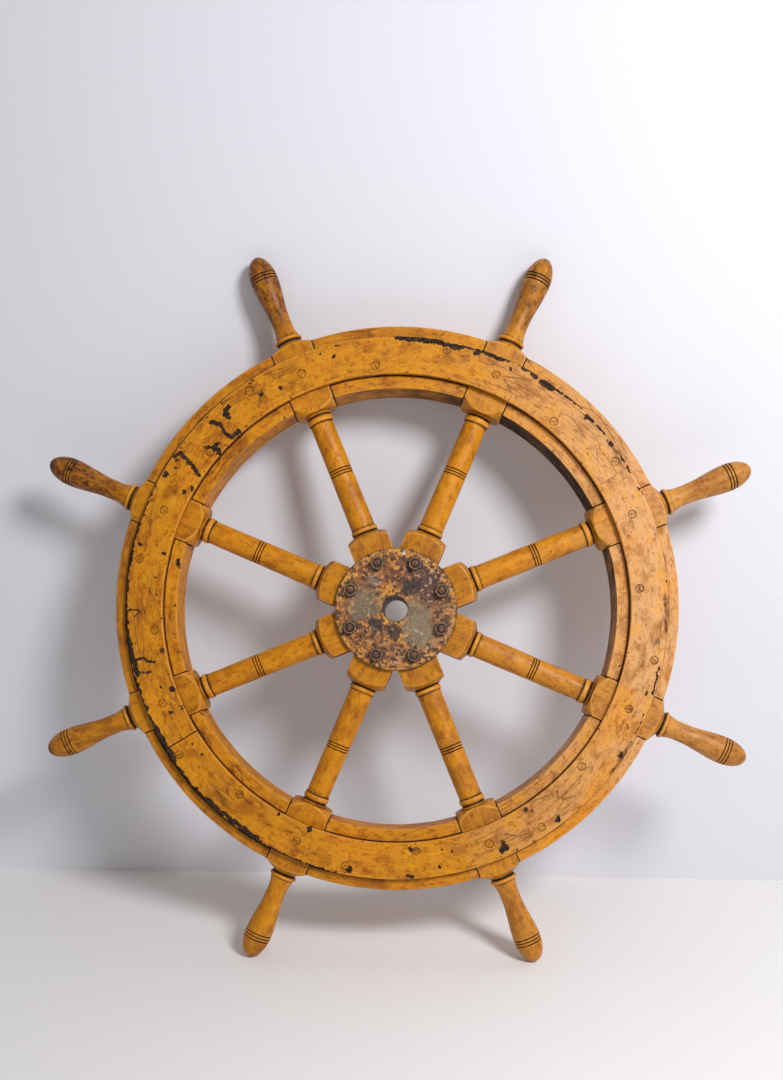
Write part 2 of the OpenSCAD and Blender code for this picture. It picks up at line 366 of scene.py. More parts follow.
# %% Set up wall and floor
LEAN = math.atan(0.28)
WALL_TOUCH = Vector((0, 0.056, 0.43))
FLOOR_TOUCH = Vector((0, 0, cad_box[0].z - mm(1)))
WALL_HALF, FLOOR_HALF, FLOOR_BEHIND, WALL_BELOW = 2.6, 3.2, 1.2, mm(20)
room_turn = Matrix.Rotation(LEAN, 4, "X")
reach = (WALL_TOUCH.z - FLOOR_TOUCH.z) * math.sin(LEAN) + WALL_TOUCH.y * math.cos(LEAN)
corner = FLOOR_TOUCH + room_turn @ Vector((0, reach, 0))
room = Matrix.Translation(corner) @ room_turn
wall_place = room @ Matrix.Translation((0, 0, WALL_HALF - WALL_BELOW))
wall_place = wall_place @ Matrix.Rotation(math.pi / 2, 4, "X")
floor_place = room @ Matrix.Translation((0, FLOOR_BEHIND - FLOOR_HALF, 0))
flat_sheet("wall", WALL_HALF, matt_paint("white_wall_paint", "#e4e6ec", True), wall_place)
flat_sheet("floor", FLOOR_HALF, matt_paint("white_floor_paint", "#f0efee"), floor_place)
print("floor and wall meet", round(corner.y, 3), "m behind the hub,", round(-corner.z, 3), "m below it")

# %% Light the room
LAMP_PLACE, LAMP_TARGET = Vector((1.12, -1.95, 0.92)), Vector((0.10, 0, -0.20))
LAMP_SIZE, LAMP_WATTS, AMBIENT, BACKDROP = 0.70, 46, 0.35, 0.72
window = bpy.data.lights.new("window", "AREA")
window.shape, window.size, window.energy = "DISK", LAMP_SIZE, LAMP_WATTS
window.color = colour("#fdfcff")[:3]
put("window", window, LAMP_PLACE, (LAMP_TARGET - LAMP_PLACE).to_track_quat("-Z", "Y").to_euler())

world = bpy.data.worlds.new("room")
world.use_nodes = True
bpy.context.scene.world = world
sky = world.node_tree
sky.nodes.clear()
rays = add(sky, "LightPath")
seen = 0.0
for kind in ("Camera", "Glossy", "Transmission"):
    seen = add(sky, "Math", {ONE: seen, TWO: rays.outputs[f"Is {kind} Ray"]}, operation="MAXIMUM")
ambient = add(sky, "Background", {"Color": colour("#f4f2f3"), "Strength": AMBIENT})
backdrop = add(sky, "Background", {"Color": colour("#f4f4f6"), "Strength": BACKDROP})
add(sky, "OutputWorld", {"Surface": add(sky, "MixShader", {0: seen, 1: ambient, 2: backdrop})})
print("the lamp is", round((LAMP_PLACE - LAMP_TARGET).length, 2), "m away")

# %% [markdown]
# ## Old ochre oil paint
# The wood was brushed with several coats of ochre oil paint. To the eye that gives a
# soft gloss, cloudy mottling between yellow ochre, orange and brown, broken brush
# streaks along the grain, pale scuffs, thin cracks, and brown grime in every corner.
# Towards the right, the side the lamp falls on, the paint is paler and tan: partly
# bleached by the sun and partly painted light, while the left keeps the colour of the
# paint in shade. On the arrises the paint is rubbed thin and bright, and where it has
# flaked off a charcoal undercoat lies bare with brown wood at its edge.
# Five marks on each mesh point steer this: grain (a place in the wood's own
# directions), dirt, stain (from hands and water), worn and bare. In a few places the
# dirt and stain marks also carry painted shade and shadow, and the worn mark a painted
# highlight. The sizes are real ones. Each coat is laid over the last one, so the coats
# stand in a list, and the paint could be given one more by adding a line.

# %% Say what the paint is made of
# A pattern has a width across the grain, a length in widths, a detail and a roughness
PAINT_PATTERNS = {
    "patch": (mm(75), 1.4, 3.0, 0.50),
    "cloud": (mm(24), 1.5, 6.0, 0.66),
    "blotch": (mm(8.5), 1.8, 5.0, 0.66),
    "fleck": (mm(5), 1.2, 3.0, 0.62),
    "scuff": (mm(5.5), 4.0, 4.0, 0.60),
    "streak": (mm(2.2), 26.0, 3.0, 0.55),
    "speck": (mm(3.2), 1.0, 2.0, 0.50),
    "edge": (mm(4.5), 1.0, 4.0, 0.66),
}
SHADED_PAINT = "#cd850a"
# A coat has a pattern, the values where it starts and is full, its strength, its colour,
# and MULTIPLY where it is a glaze that darkens the last coat instead of covering it
COATS = [
    # The first two coats paint the right side paler and tan: partly sun-bleached paint, partly painted
    # light of the side the lamp falls on
    ("lit_and_bleached", 0.05, 0.50, 1.00, "#d08812"),
    ("paler_lit_and_bleached", 0.54, 0.88, 0.92, "#e0ab74"),
    ("patch", 0.52, 0.66, 0.50, "#d8c290", "MULTIPLY"),
    ("patch", 0.46, 0.34, 0.45, "#dd8a18"),
    ("cloud", 0.50, 0.62, 0.80, "#c8b27c", "MULTIPLY"),
    ("cloud", 0.44, 0.34, 0.50, "#e8a01a"),
    ("blotch", 0.54, 0.62, 0.60, "#b08a50", "MULTIPLY"),
    ("blotch", 0.40, 0.32, 0.45, "#e5a02c"),
    ("fleck", 0.57, 0.63, 0.45, "#b5621a"),
    ("fleck", 0.40, 0.33, 0.45, "#e9a83a"),
    ("scuff", 0.62, 0.72, 0.40, "#e4a236"),
    ("streak", 0.56, 0.72, 0.35, "#ab8f5c", "MULTIPLY"),
    ("speck", 0.65, 0.71, 0.50, "#745029", "MULTIPLY"),
]
OLD_BROWN, UNDERCOAT = "#46290b", "#1b1511"
# A range takes a pattern from two of its values to two new ones
PAINT_RANGES = {
    "rubbed": ("cloud", 0.38, 0.58, 0.0, 0.8),
    "handled": ("blotch", 0.3, 0.7, 0.2, 1.75),
    "fresh": ("fleck", 0.40, 0.60, 0.0, 1.0),
    "soot": ("streak", 0.2, 0.7, 0.75, 1.25),
    "cling": ("cloud", 0.4, 0.7, -0.12, 0.10),
    "frayed": ("edge", 0.3, 0.7, -0.16, 0.16),
    "sooty": ("speck", 0.38, 0.62, 0.0, 1.0),
    "woody": ("blotch", 0.52, 0.62, 0.0, 0.6),
}
CRACK_SPACING, CRACK_LENGTH, CRACK_WIDTH = mm(13), 6.0, 0.045
PAINT_RELIEF = mm(1.0)
print(len(COATS), "coats in", len(PAINT_PATTERNS), "patterns")

# %% [markdown]
# ## How the coats meet
# Each pattern is stretched along the grain and becomes the field that a coat follows.
# Cracks only show where the paint is dry, hands only darken what they reach, and where
# a flake is lost its edge stays lifted and brown. Thick and thin paint is left to the
# bump, for it is under a millimetre high. The same function makes the paint of every
# piece, a little glossier on the turned wood that hands have rubbed.

# %% Make the paint
def oil_paint(name, dullness=0.42, mottle=1.0, pale=1.0, cracks=0.7):
    material, tree = new_material(name)
    place = add(tree, "TexCoord").outputs["Object"]
    grain = add(tree, "Attribute", attribute_name="grain").outputs["Vector"]
    field = {key: add(tree, "Attribute", attribute_name=key).outputs["Fac"]
             for key in ("dirt_and_shade", "stain_and_shade", "worn", "bare")}
    for key, (width, length, detail, rough) in PAINT_PATTERNS.items():
        there = add(tree, "Mapping", {"Vector": grain, "Location": (width * 900, 0, 0),
                                      "Scale": (1 / (width * length), 1 / width, 1 / width)})
        field[key] = add(tree, "TexNoise", {"Vector": there, "Scale": 1.0, "Detail": detail,
                                            "Roughness": rough})
    # Paler towards +X, the lamp's side: partly sun-bleaching, partly painted light
    lit_and_bleached = add(tree, "SeparateXYZ", {0: place}).outputs["X"]
    for key, wander in (("patch", 0.6), ("cloud", 0.3)):
        lit_and_bleached = add(tree, "Math", {ONE: field[key], TWO: wander, PLUS: lit_and_bleached}, operation="MULTIPLY_ADD")
    field["lit_and_bleached"] = field["paler_lit_and_bleached"] = lit_and_bleached

    share = {"lit_and_bleached": 1.0, "paler_lit_and_bleached": pale}
    coats = [(key, start, full, strength * share.get(key, mottle), *rest)
             for key, start, full, strength, *rest in COATS]
    tone = lay_coats(tree, field, colour(SHADED_PAINT), coats)

    scale = (1 / (CRACK_SPACING * CRACK_LENGTH), 1 / CRACK_SPACING, 1 / CRACK_SPACING)
    there = add(tree, "Mapping", {"Vector": grain, "Scale": scale})
    cells = add(tree, "TexVoronoi", {"Vector": there, "Scale": 1.0}, feature="DISTANCE_TO_EDGE")
    field["cracked"] = add(tree, "MapRange", {"Value": cells, START: CRACK_WIDTH, FULL: 0.0})
    ranges = {**PAINT_RANGES, "dry": ("patch", 0.50, 0.60, 0.0, cracks),
              "dull": ("streak", 0.3, 0.7, dullness - 0.06, dullness + 0.10)}
    for key, (pattern, start, full, low, high) in ranges.items():
        field[key] = add(tree, "MapRange", {"Value": field[pattern], START: start, FULL: full,
                                            TO_START: low, TO_FULL: high})
    for key, where in (("cracked", "dry"), ("rubbed", "worn"), ("handled", "stain_and_shade")):
        field[key] = add(tree, "Math", {ONE: field[key], TWO: field[where]}, operation="MULTIPLY",
                         use_clamp=key == "handled")
    # Grime darkens the paint where the dirt mark is high, and in places that mark is painted shade
    soot = add(tree, "Math", {ONE: field["soot"], TWO: field["dirt_and_shade"], PLUS: field["cling"]},
               operation="MULTIPLY_ADD")
    field["grime_and_shade"] = add(tree, "MapRange", {"Value": soot, START: 0.12, FULL: 0.65})
    flaked = add(tree, "Math", {ONE: field["bare"], TWO: field["frayed"]}, operation="ADD")
    field["lifted"] = add(tree, "MapRange", {"Value": flaked, START: 0.34, FULL: 0.45, TO_FULL: 0.65})
    field["lost"] = add(tree, "MapRange", {"Value": flaked, START: 0.47, FULL: 0.52})

    browned, undercoat = colour(OLD_BROWN), colour(UNDERCOAT)
    browned = add(tree, "Mix", {MIX: field["fresh"], A: browned, B: colour("#945417")},
                  data_type="RGBA")
    for key, paint in (("sooty", "#42372b"), ("woody", "#5a3c22")):
        undercoat = add(tree, "Mix", {MIX: field[key], A: undercoat, B: colour(paint)},
                        data_type="RGBA")
    for key, paint in (("cracked", colour("#3a210d")), ("rubbed", colour("#eba644")),
                       ("handled", browned), ("grime_and_shade", colour("#1b1008")),
                       ("lifted", colour("#5a3512")), ("lost", undercoat)):
        tone = add(tree, "Mix", {MIX: field[key], A: tone, B: paint}, data_type="RGBA")

    height, dull = 0.0, field["dull"]
    for key, depth in (("streak", 0.30), ("cloud", 0.65), ("blotch", 0.75), ("fleck", 0.35),
                       ("cracked", -0.6), ("grime_and_shade", -0.3), ("lost", -1.2)):
        height = add(tree, "Math", {ONE: field[key], TWO: depth, PLUS: height}, operation="MULTIPLY_ADD")
    for key, duller in (("grime_and_shade", 0.25), ("lost", 0.30), ("blotch", 0.10)):
        dull = add(tree, "Math", {ONE: field[key], TWO: duller, PLUS: dull}, operation="MULTIPLY_ADD")
    bump = add(tree, "Bump", {"Height": height, "Distance": PAINT_RELIEF, "Strength": 1.0})
    sheen = add(tree, "MapRange", {"Value": field["lost"], TO_START: 0.30, TO_FULL: 0.10})
    shader = add(tree, "BsdfPrincipled", {"Base Color": tone, "Roughness": dull, "Normal": bump,
                                          "IOR": 1.42, "Specular IOR Level": sheen})
    add(tree, "OutputMaterial", {"Surface": shader})
    return material


facing_paint = oil_paint("ochre_oil_paint_on_facing_elm", dullness=0.42)
rim_paint = oil_paint("ochre_oil_paint_on_rim_elm", dullness=0.44)
spoke_paint = oil_paint("ochre_oil_paint_on_turned_ash", dullness=0.32, mottle=0.80, pale=0.35,
                        cracks=0.2)
after_paint = oil_paint("ochre_oil_paint_on_after_elm", dullness=0.5)
print("paints", [m.name for m in bpy.data.materials if m.name.startswith("ochre")])

# %% [markdown]
# ## The turned spoke
# A spoke is one stick of ash, 66 mm square. On the lathe the turner left the square
# standing where it goes through the hub and the rim, and cut beads, coves, a shank
# and a handle between. It could be drawn as a box joined to a lathe shape, but then
# the arches where the two meet would have to be guessed. Here it is made as on the
# real lathe: the outline is spun into a round, wider than the stock at the blocks,
# and the four sides of the stock are then sawn flat. The arches come by themselves.

# %% Give the stations of a spoke
HUB_SHOULDER, HUB_SHOULDER_L = mm(127), mm(9)
HUB_BEAD_X, HUB_BEAD_W, HUB_BEAD_H = mm(134), mm(8), mm(2.2)
SHANK_HUB_R, SHANK_RIM_R = mm(19.75), mm(18.75)
RIM_BEAD_X, RIM_BEAD_W, RIM_BEAD_H = mm(323), mm(10), mm(2.2)
COVE_X, ROUND_X, ROUND_W, ROUND_H = mm(333), mm(336), mm(3), mm(3)
INNER_SHOULDER, INNER_SHOULDER_L = mm(339), mm(13.5)
OUTER_SHOULDER, OUTER_SHOULDER_L = mm(452.5), mm(6.5)
NECK_X, NECK_R, COLLAR_X, COLLAR_W, COLLAR_R = mm(460.5), mm(19), mm(463.5), mm(6.5), mm(22.1)
FLARE_R, WAIST_X, WAIST_END, WAIST_R = mm(18.75), mm(487), mm(502), mm(15.7)
SWELL_X, SWELL_R, TIP_X = mm(570), mm(22.2), mm(609.9)
SHANK_GROOVE, SHANK_GROOVE_PITCH = mm(239), mm(4.5)
GRIP_GROOVE, GRIP_GROOVE_PITCH = mm(572.5), mm(5)
GROOVE_W, GROOVE_DEPTH = mm(2.4), mm(1.2)
BLANK_R = CORNER + mm(2)
UNDER = mm(0.05)
print("handle", round(TIP_X - NECK_X, 3), "m, shank", round(RIM_BEAD_X - HUB_BEAD_X, 3), "m")

# %% Draw the outline of a spoke
def ease(a, b, t):
    """From a to b as t runs from 0 to 1, level at both ends."""
    return a + (b - a) * t * t * (3 - 2 * t)


def shank_radius(x):
    start = HUB_BEAD_X + HUB_BEAD_W
    return SHANK_HUB_R + (SHANK_RIM_R - SHANK_HUB_R) * (x - start) / (RIM_BEAD_X - start)


def grip_radius(x):
    collar_end = COLLAR_X + COLLAR_W
    if x < WAIST_X:
        return ease(FLARE_R, WAIST_R, (x - collar_end) / (WAIST_X - collar_end))
    if x < WAIST_END:
        return WAIST_R
    if x < SWELL_X:
        return ease(WAIST_R, SWELL_R, (x - WAIST_END) / (SWELL_X - WAIST_END))
    return SWELL_R * math.sqrt(max(0, 1 - ((x - SWELL_X) / (TIP_X - SWELL_X)) ** 2))


def bead(start, width, base, height, steps=10):
    """Half a round, from its foot over the crest to the other foot."""
    angles = [math.pi * k / steps for k in range(steps + 1)]
    return [(start + width * (1 - math.cos(a)) / 2, base + height * math.sin(a)) for a in angles]


def groove(x, radius):
    """Down from one lip, along the narrow floor and up to the other lip."""
    half, floor = GROOVE_W / 2, GROOVE_W / 8
    left = [(-half - mm(0.3), 0), (-half, mm(0.1)), (-floor, GROOVE_DEPTH)]
    right = [(-along, depth) for along, depth in reversed(left)]
    return [(x + along, radius - depth) for along, depth in left + right]


def run(start, end, radius, step=mm(5)):
    """Even stations between two places, each at the radius that a rule gives."""
    count = max(1, round((end - start) / step))
    return [(x, radius(x)) for x in (start + (end - start) * k / count for k in range(count + 1))]


def three_grooves(middle, pitch, radius):
    """Three grooves side by side, cut into whatever radius the spoke has there."""
    return [p for k in (-1, 0, 1) for p in groove(middle + k * pitch, radius(middle + k * pitch))]


def slope(start, start_radius, end, end_radius):
    """A straight turned slope between two stations, in steps of about a millimetre."""
    rise = (end_radius - start_radius) / (end - start)
    return run(start, end, lambda x: start_radius + (x - start) * rise, mm(1))


def spoke_outline():
    shank_cut = SHANK_GROOVE_PITCH + GROOVE_W
    grip_cut = GRIP_GROOVE_PITCH + GROOVE_W
    last = math.asin((GRIP_GROOVE + grip_cut - SWELL_X) / (TIP_X - SWELL_X))
    dome = [last + (math.pi / 2 - last) * k / 12 for k in range(13)]
    points = [(mm(20), BLANK_R), (HUB_SHOULDER - HUB_SHOULDER_L, BLANK_R),
              (HUB_SHOULDER - HUB_SHOULDER_L, CORNER)]
    points += slope(HUB_SHOULDER, SIDE - UNDER, HUB_BEAD_X - mm(0.2), SHANK_HUB_R)
    points += bead(HUB_BEAD_X, HUB_BEAD_W, SHANK_HUB_R, HUB_BEAD_H)
    points += run(HUB_BEAD_X + HUB_BEAD_W + mm(0.5), SHANK_GROOVE - shank_cut, shank_radius)
    points += three_grooves(SHANK_GROOVE, SHANK_GROOVE_PITCH, shank_radius)
    points += run(SHANK_GROOVE + shank_cut, RIM_BEAD_X - mm(1), shank_radius)
    points += bead(RIM_BEAD_X, RIM_BEAD_W, SHANK_RIM_R, RIM_BEAD_H)
    points += [(COVE_X + mm(1.4), SHANK_RIM_R), (ROUND_X - mm(0.2), SHANK_RIM_R)]
    points += bead(ROUND_X, ROUND_W, SHANK_RIM_R + ROUND_H / 2, ROUND_H / 2, 6)
    block_from, block_to = INNER_SHOULDER + INNER_SHOULDER_L, OUTER_SHOULDER - OUTER_SHOULDER_L
    points += [(INNER_SHOULDER, SIDE - UNDER), (block_from, CORNER), (block_from, BLANK_R),
               (block_to, BLANK_R), (block_to, CORNER)]
    points += slope(OUTER_SHOULDER, SIDE - UNDER, NECK_X, NECK_R)
    points += [(NECK_X + mm(1), NECK_R), (NECK_X + mm(2), NECK_R), (COLLAR_X - mm(0.2), NECK_R)]
    points += bead(COLLAR_X, COLLAR_W, NECK_R, COLLAR_R - NECK_R)
    points += run(COLLAR_X + COLLAR_W + mm(0.2), GRIP_GROOVE - grip_cut, grip_radius)
    points += three_grooves(GRIP_GROOVE, GRIP_GROOVE_PITCH, grip_radius)
    points += [(SWELL_X + (TIP_X - SWELL_X) * math.sin(a), SWELL_R * math.cos(a)) for a in dome]
    return points


outline = spoke_outline()
print("the outline has", len(outline), "points")

# %% [markdown]
# ## Grime and wear on a spoke
# Dirt settles where a cloth and a hand can't reach: in the grooves, beside the beads
# and where the spoke meets hub and rim. Along the plate's edge the dark band is painted
# shadow, and the sides of the hub blocks are darkened as painted shade. Hands darken
# the grips, some more than others. Each of these is a soft bump round a station along
# the spoke, so one function takes the strongest of them. The crests of the beads are
# rubbed bright.

# %% Say where a spoke is dirty and worn
# A place has a station, a width and a strength
CREVICES = [(HUB_BEAD_X - mm(1), mm(1.6), 1.0), (HUB_BEAD_X + HUB_BEAD_W, mm(1), 0.6),
            (RIM_BEAD_X, mm(1.2), 0.8), (COVE_X + mm(1.5), mm(2), 0.8), (INNER_SHOULDER, mm(1), 0.25),
            (NECK_X + mm(1.5), mm(2), 1.0), (COLLAR_X + COLLAR_W, mm(0.8), 0.45)]
for middle, pitch in ((SHANK_GROOVE, SHANK_GROOVE_PITCH), (GRIP_GROOVE, GRIP_GROOVE_PITCH)):
    CREVICES += [(middle + k * pitch, mm(0.8), 0.9) for k in (-1, 0, 1)]
CRESTS = [(HUB_BEAD_X + HUB_BEAD_W / 2, mm(2), 1.0), (RIM_BEAD_X + RIM_BEAD_W / 2, mm(3), 1.0),
          (COLLAR_X + COLLAR_W / 2, mm(2), 1.0), (SWELL_X, mm(9), 0.6)]
HAND_STAIN = {1: 0.35, 2: 0.62, 3: 0.85, 4: 0.95, 5: 0.45, 6: 0.15, 7: 0.20, 8: 0.30}
TIP_GRIME, CLEAN_TIP = {4: 0.55, 5: 0.45}, 0.05
BLOCK_STAIN, PLATE_EDGE_SHADOW, SIDE_SHADE = 0.30, 0.34, 0.35
STICK = 3.7  # Metres of grain from one stick to the next, so that no two look alike


def bumps(x, places):
    """The strongest of several soft bumps, each a station, a width and a height."""
    return np.max([height * near(x, at, width) for at, width, height in places], axis=0)


def weather_spoke(piece, index):
    co = points_of(piece)
    a = math.radians(spoke_angle(index))
    along = co[:, 0] * math.cos(a) + co[:, 2] * math.sin(a)
    side = -co[:, 0] * math.sin(a) + co[:, 2] * math.cos(a)
    mark(piece, "grain", np.stack([along, side, co[:, 1]], axis=1) + STICK * index)
    in_hub, in_rim = along < HUB_BEAD_X, (along > INNER_SHOULDER) & (along < NECK_X)
    tip = near(along, TIP_X, mm(14)) * TIP_GRIME.get(index, CLEAN_TIP)
    # Painted shadow: a dark band on the blocks along the plate's edge
    under_plate_shadow = PLATE_EDGE_SHADOW * near(np.hypot(along, side), PLATE_R, mm(2.5))
    # Painted shade: the sides of the hub blocks, deep between their neighbours, are darkened
    between = (np.abs(side) > SIDE - mm(0.6)) * in_hub * SIDE_SHADE
    mark(piece, "dirt_and_shade", np.max([bumps(along, CREVICES), under_plate_shadow, tip, between], axis=0))
    grip = np.clip((along - COLLAR_X) / mm(45), 0, 1) * HAND_STAIN[index]
    block = in_hub * BLOCK_STAIN + in_rim * BLOCK_STAIN / 2
    mark(piece, "stain_and_shade", np.maximum(grip, block))
    mark(piece, "worn", np.maximum(marked(piece, "worn"), bumps(along, CRESTS)))
    mark(piece, "bare", np.zeros(len(co)))


# %% [markdown]
# ## Turn and saw the eight spokes
# The inner end of a spoke is mitred, so that the eight ends close the circle like
# the staves of a barrel. The saw cuts come first, and then the arrises are softened
# by almost a millimetre, as paint and handling leave them. The sawn flats would carry
# the wear of their arrises right across, so each gets a border with no wear inside it,
# and a few sections for the painted shadow beside the plate.

# %% Make the spokes
LATHE_STEPS, FLAT_SIZE, FLAT_BORDER, ARRIS = 96, mm(15), mm(1.6), mm(0.8)
SPOKE_DENTS = mm(0.25), mm(18)
SECTIONS_ALONG = [PLATE_R + mm(x) for x in (-6, -3, 0, 4)]
SECTIONS_ACROSS = [SIDE * part for part in (-0.7, -0.35, 0, 0.35, 0.7)]


def keep_flats_painted(bm):
    flats = [f for f in bm.faces if f.calc_area() > FLAT_SIZE ** 2]
    bmesh.ops.inset_individual(bm, faces=flats, thickness=FLAT_BORDER, use_even_offset=True)
    layer = bm.verts.layers.float["worn"]
    for vert in {v for f in flats for v in f.verts}:
        vert[layer] = 0.0
    for x in SECTIONS_ALONG:
        divide(bm, (x, 0, 0), (1, 0, 0))
    for z in SECTIONS_ACROSS:
        divide(bm, (0, 0, z), (0, 0, 1))


def make_spoke(index):
    bm = bmesh.new()
    spin(bm, chain(bm, [(x, 0, r) for x, r in outline]), (1, 0, 0), steps=LATHE_STEPS)
    bmesh.ops.remove_doubles(bm, verts=bm.verts, dist=mm(0.02))
    half = math.radians(PITCH / 2)
    cut(bm, (BUSH_R, 0, 0), (-1, 0, 0))
    for normal in ((0, 1, 0), (0, -1, 0), (0, 0, 1), (0, 0, -1)):
        cut(bm, Vector(normal) * SIDE, normal)
    for side in (-1, 1):
        cut(bm, (0, 0, 0), (-math.sin(half), 0, side * math.cos(half)))
    tidy(bm)
    blocks = [e for e in sharp_edges(bm, 20) if max(e.verts, key=lambda v: v.co.x).co.x > PLATE_R
              and all(max(abs(v.co.y), abs(v.co.z)) > SIDE - mm(0.2) for v in e.verts)]
    soften(bm, blocks, ARRIS)
    tidy(bm)
    keep_flats_painted(bm)
    roughen(bm, *SPOKE_DENTS, index)
    bm.transform(wheel_turn(spoke_angle(index)))
    piece = as_object(bm, f"turned_spoke_{index}")
    weather_spoke(piece, index)
    dress(piece, spoke_paint, "turned_wood", f"spoke_{index}")


for number in range(1, SPOKES + 1):
    make_spoke(number)

# %% [markdown]
# ## Damage on the rim, stroke by stroke
# The rim took the knocks. Chips, long flaked edges, old nail holes, knots and a few
# cracks break its paint, most of them top left and along the outer edge. They could be
# left to a noise, but then they would lie anywhere. So each is a short stroke drawn
# on the rim's face: a half width in millimetres, and then angle and radius for
# each bend. Only the finest specks are scattered, by a random number with a fixed seed.

# %% List the damage
LOSSES = [
    (3.5, (130.2, 415), (131.5, 412), (131.8, 403)),
    (2.6, (135.3, 414), (134.4, 406), (134.5, 394), (134.9, 386), (134.6, 376), (133.3, 373),
     (132, 374.5)),
    (2.6, (140.2, 395), (139.6, 386), (137.7, 383)),
    (3.0, (139.6, 386), (138.8, 375), (139.4, 373.5)),
    (2.6, (146, 425), (144.7, 421), (145, 408), (145.5, 395), (146.1, 383), (146.4, 376)),
    (3.2, (187.6, 426), (190.9, 424), (194.8, 424)),
    (1.2, (191.5, 420), (191.6, 406), (192.6, 403), (192.9, 391)),
    (1.2, (194.1, 420), (194.9, 409), (195, 401)),
    (1.0, (180.7, 421), (181.1, 407)),
    (2.2, (195.6, 427), (201.4, 427), (206, 427)),
    (3.6, (206, 427), (209.5, 425), (212.1, 425), (214.8, 426)),
    (1.6, (214.8, 427), (220, 427), (226, 427.5)),
    (3.4, (226, 425), (232.8, 423), (235.1, 424), (237.7, 425), (239.2, 426)),
    (1.6, (239.2, 427.5), (248, 427.5), (256, 428)),
    (1.7, (168.6, 427.5), (176, 428), (187.6, 427)),
    (1.2, (153.4, 428), (160, 428), (168.6, 428)),
    (3.6, (90.5, 426), (86, 424), (81.2, 424), (78.8, 420), (76.9, 422)),
    (1.4, (76.9, 424), (75.4, 424), (71.9, 424)),
    (2.8, (73.2, 419), (72.8, 419)),
    (2.4, (71.9, 425), (69.5, 424), (67.4, 425)),
    (1.2, (67.4, 427), (62.7, 428)),
    (2.2, (62.7, 427), (60.4, 426), (59.1, 424)),
    (5.2, (57.6, 423), (55.7, 423)),
    (1.3, (54.7, 425), (52.5, 426), (49.8, 427), (47.8, 427)),
    (3.2, (45.9, 425), (44.5, 426)),
    (2.0, (42.7, 426), (41, 427)),
    (3.0, (38.2, 425), (37.8, 425.5)),
    (1.0, (36, 427), (31, 425)),
    (1.1, (348.2, 423), (342.4, 426)),
    (2.0, (342.2, 415), (342, 416)),
    (3.4, (328, 421), (327.6, 423)),
    (2.6, (295.5, 405), (295.4, 417)),
    (4.2, (295.6, 414), (294.6, 416)),
    (2.6, (273.9, 379), (274.9, 383)),
    (3.8, (260.2, 417), (260.6, 419)),
    (2.4, (273.6, 422), (274.2, 424)),
    (3.6, (308.6, 418), (308.2, 420)),
    (0.9, (204.8, 369), (207, 359), (209.3, 350)),
    (0.6, (337.6, 424), (335.5, 425), (333, 425)),
    (0.6, (334.6, 398), (334.2, 405), (333.8, 413)),
    (0.9, (27.4, 425), (25.6, 427)),
]
HOLES = [(150.3, 421, 3.0), (146.6, 417, 2.2), (147.8, 413, 2.0), (150, 375, 3.2), (151.8, 381, 3.2),
         (118.1, 393, 2.6), (122.9, 399, 2.6), (167.2, 376, 3.0), (190.5, 376, 3.2), (200.3, 376, 4.2),
         (177.3, 378, 1.6), (205.1, 392, 2.6), (173.1, 384, 1.6), (217.6, 385, 2.4), (214.2, 386, 1.4),
         (249.3, 375, 4.0), (240.9, 374, 2.4), (281.6, 387, 2.0), (283.9, 393, 2.0), (303.6, 377, 2.4),
         (304.8, 385, 1.4), (280.5, 413, 2.2), (104.5, 408, 2.6), (65, 416, 1.8), (166.5, 418, 3.2)]
LOSSES += [(size, (angle, radius), (angle, radius)) for angle, radius, size in HOLES]
KNOTS = [
    (3.0, (167.9, 356), (169.0, 354)),
    (1.6, (169.9, 350), (169.9, 351)),
    (1.6, (179.5, 352), (179.6, 353)),
    (1.8, (191.7, 351), (191.7, 352)),
    (1.8, (120.8, 351), (120.9, 352)),
    (1.5, (352.5, 364), (352.6, 364)),
    (1.3, (346.7, 365), (346.8, 365)),
    (1.3, (314.4, 356), (314.5, 357)),
    (0.6, (146.4, 375), (144.5, 365), (142.5, 365), (140.2, 366), (139.5, 373)),
]
STAINS = [(2.6, (363.5, 423), (360, 425.5), (356, 427)), (2.6, (330.8, 425), (323.4, 428))]
NICKS = [(0.9, (153.8, 393), (154.9, 390)), (1.2, (168.4, 369), (177.8, 367), (187.9, 368))]
print(len(LOSSES), "large losses,", len(KNOTS), "knots and dents")

# %% Scatter the finest specks
scatter = random.Random(11)
for _ in range(190):
    at, across = scatter.gauss(180, 80), scatter.choice((426, 424, 372, scatter.uniform(352, 424)))
    LOSSES.append((scatter.uniform(0.1, 0.8), (at, across), (at + scatter.uniform(-0.4, 0.4), across)))
for _ in range(90):
    at, across = scatter.uniform(0, 360), scatter.uniform(351, 424)
    end = (at + scatter.gauss(0, 0.6), across + scatter.gauss(0, 2))
    NICKS.append((scatter.uniform(0.1, 0.4), (at, across), end))
print(len(LOSSES), "losses and", len(NICKS), "nicks with the specks")

# %% [markdown]
# ## From strokes to a mark on the mesh
# A stroke's edge would look drawn if it were even, so the face is first bent a little by
# two sizes of noise. The distance from the nearest stroke is then stored on each point:
# half on the stroke's edge, more inside it, less outside.

# %% Measure how deep a point lies in the damage
def along_rim(co):
    """Angle in degrees and radius of each point."""
    return np.degrees(np.arctan2(co[:, 2], co[:, 0])) % 360, np.hypot(co[:, 0], co[:, 2])


# Without a seed, the directions of noise_vector would follow the clock
noise.seed_set(11)
# Noise that bends the strokes, as its size and its shift in millimetres
STROKE_BENDS = (mm(9), 2.6), (mm(3.2), 1.5)
STROKE_WIDEN, STROKE_FADE = 1.15, 4.5


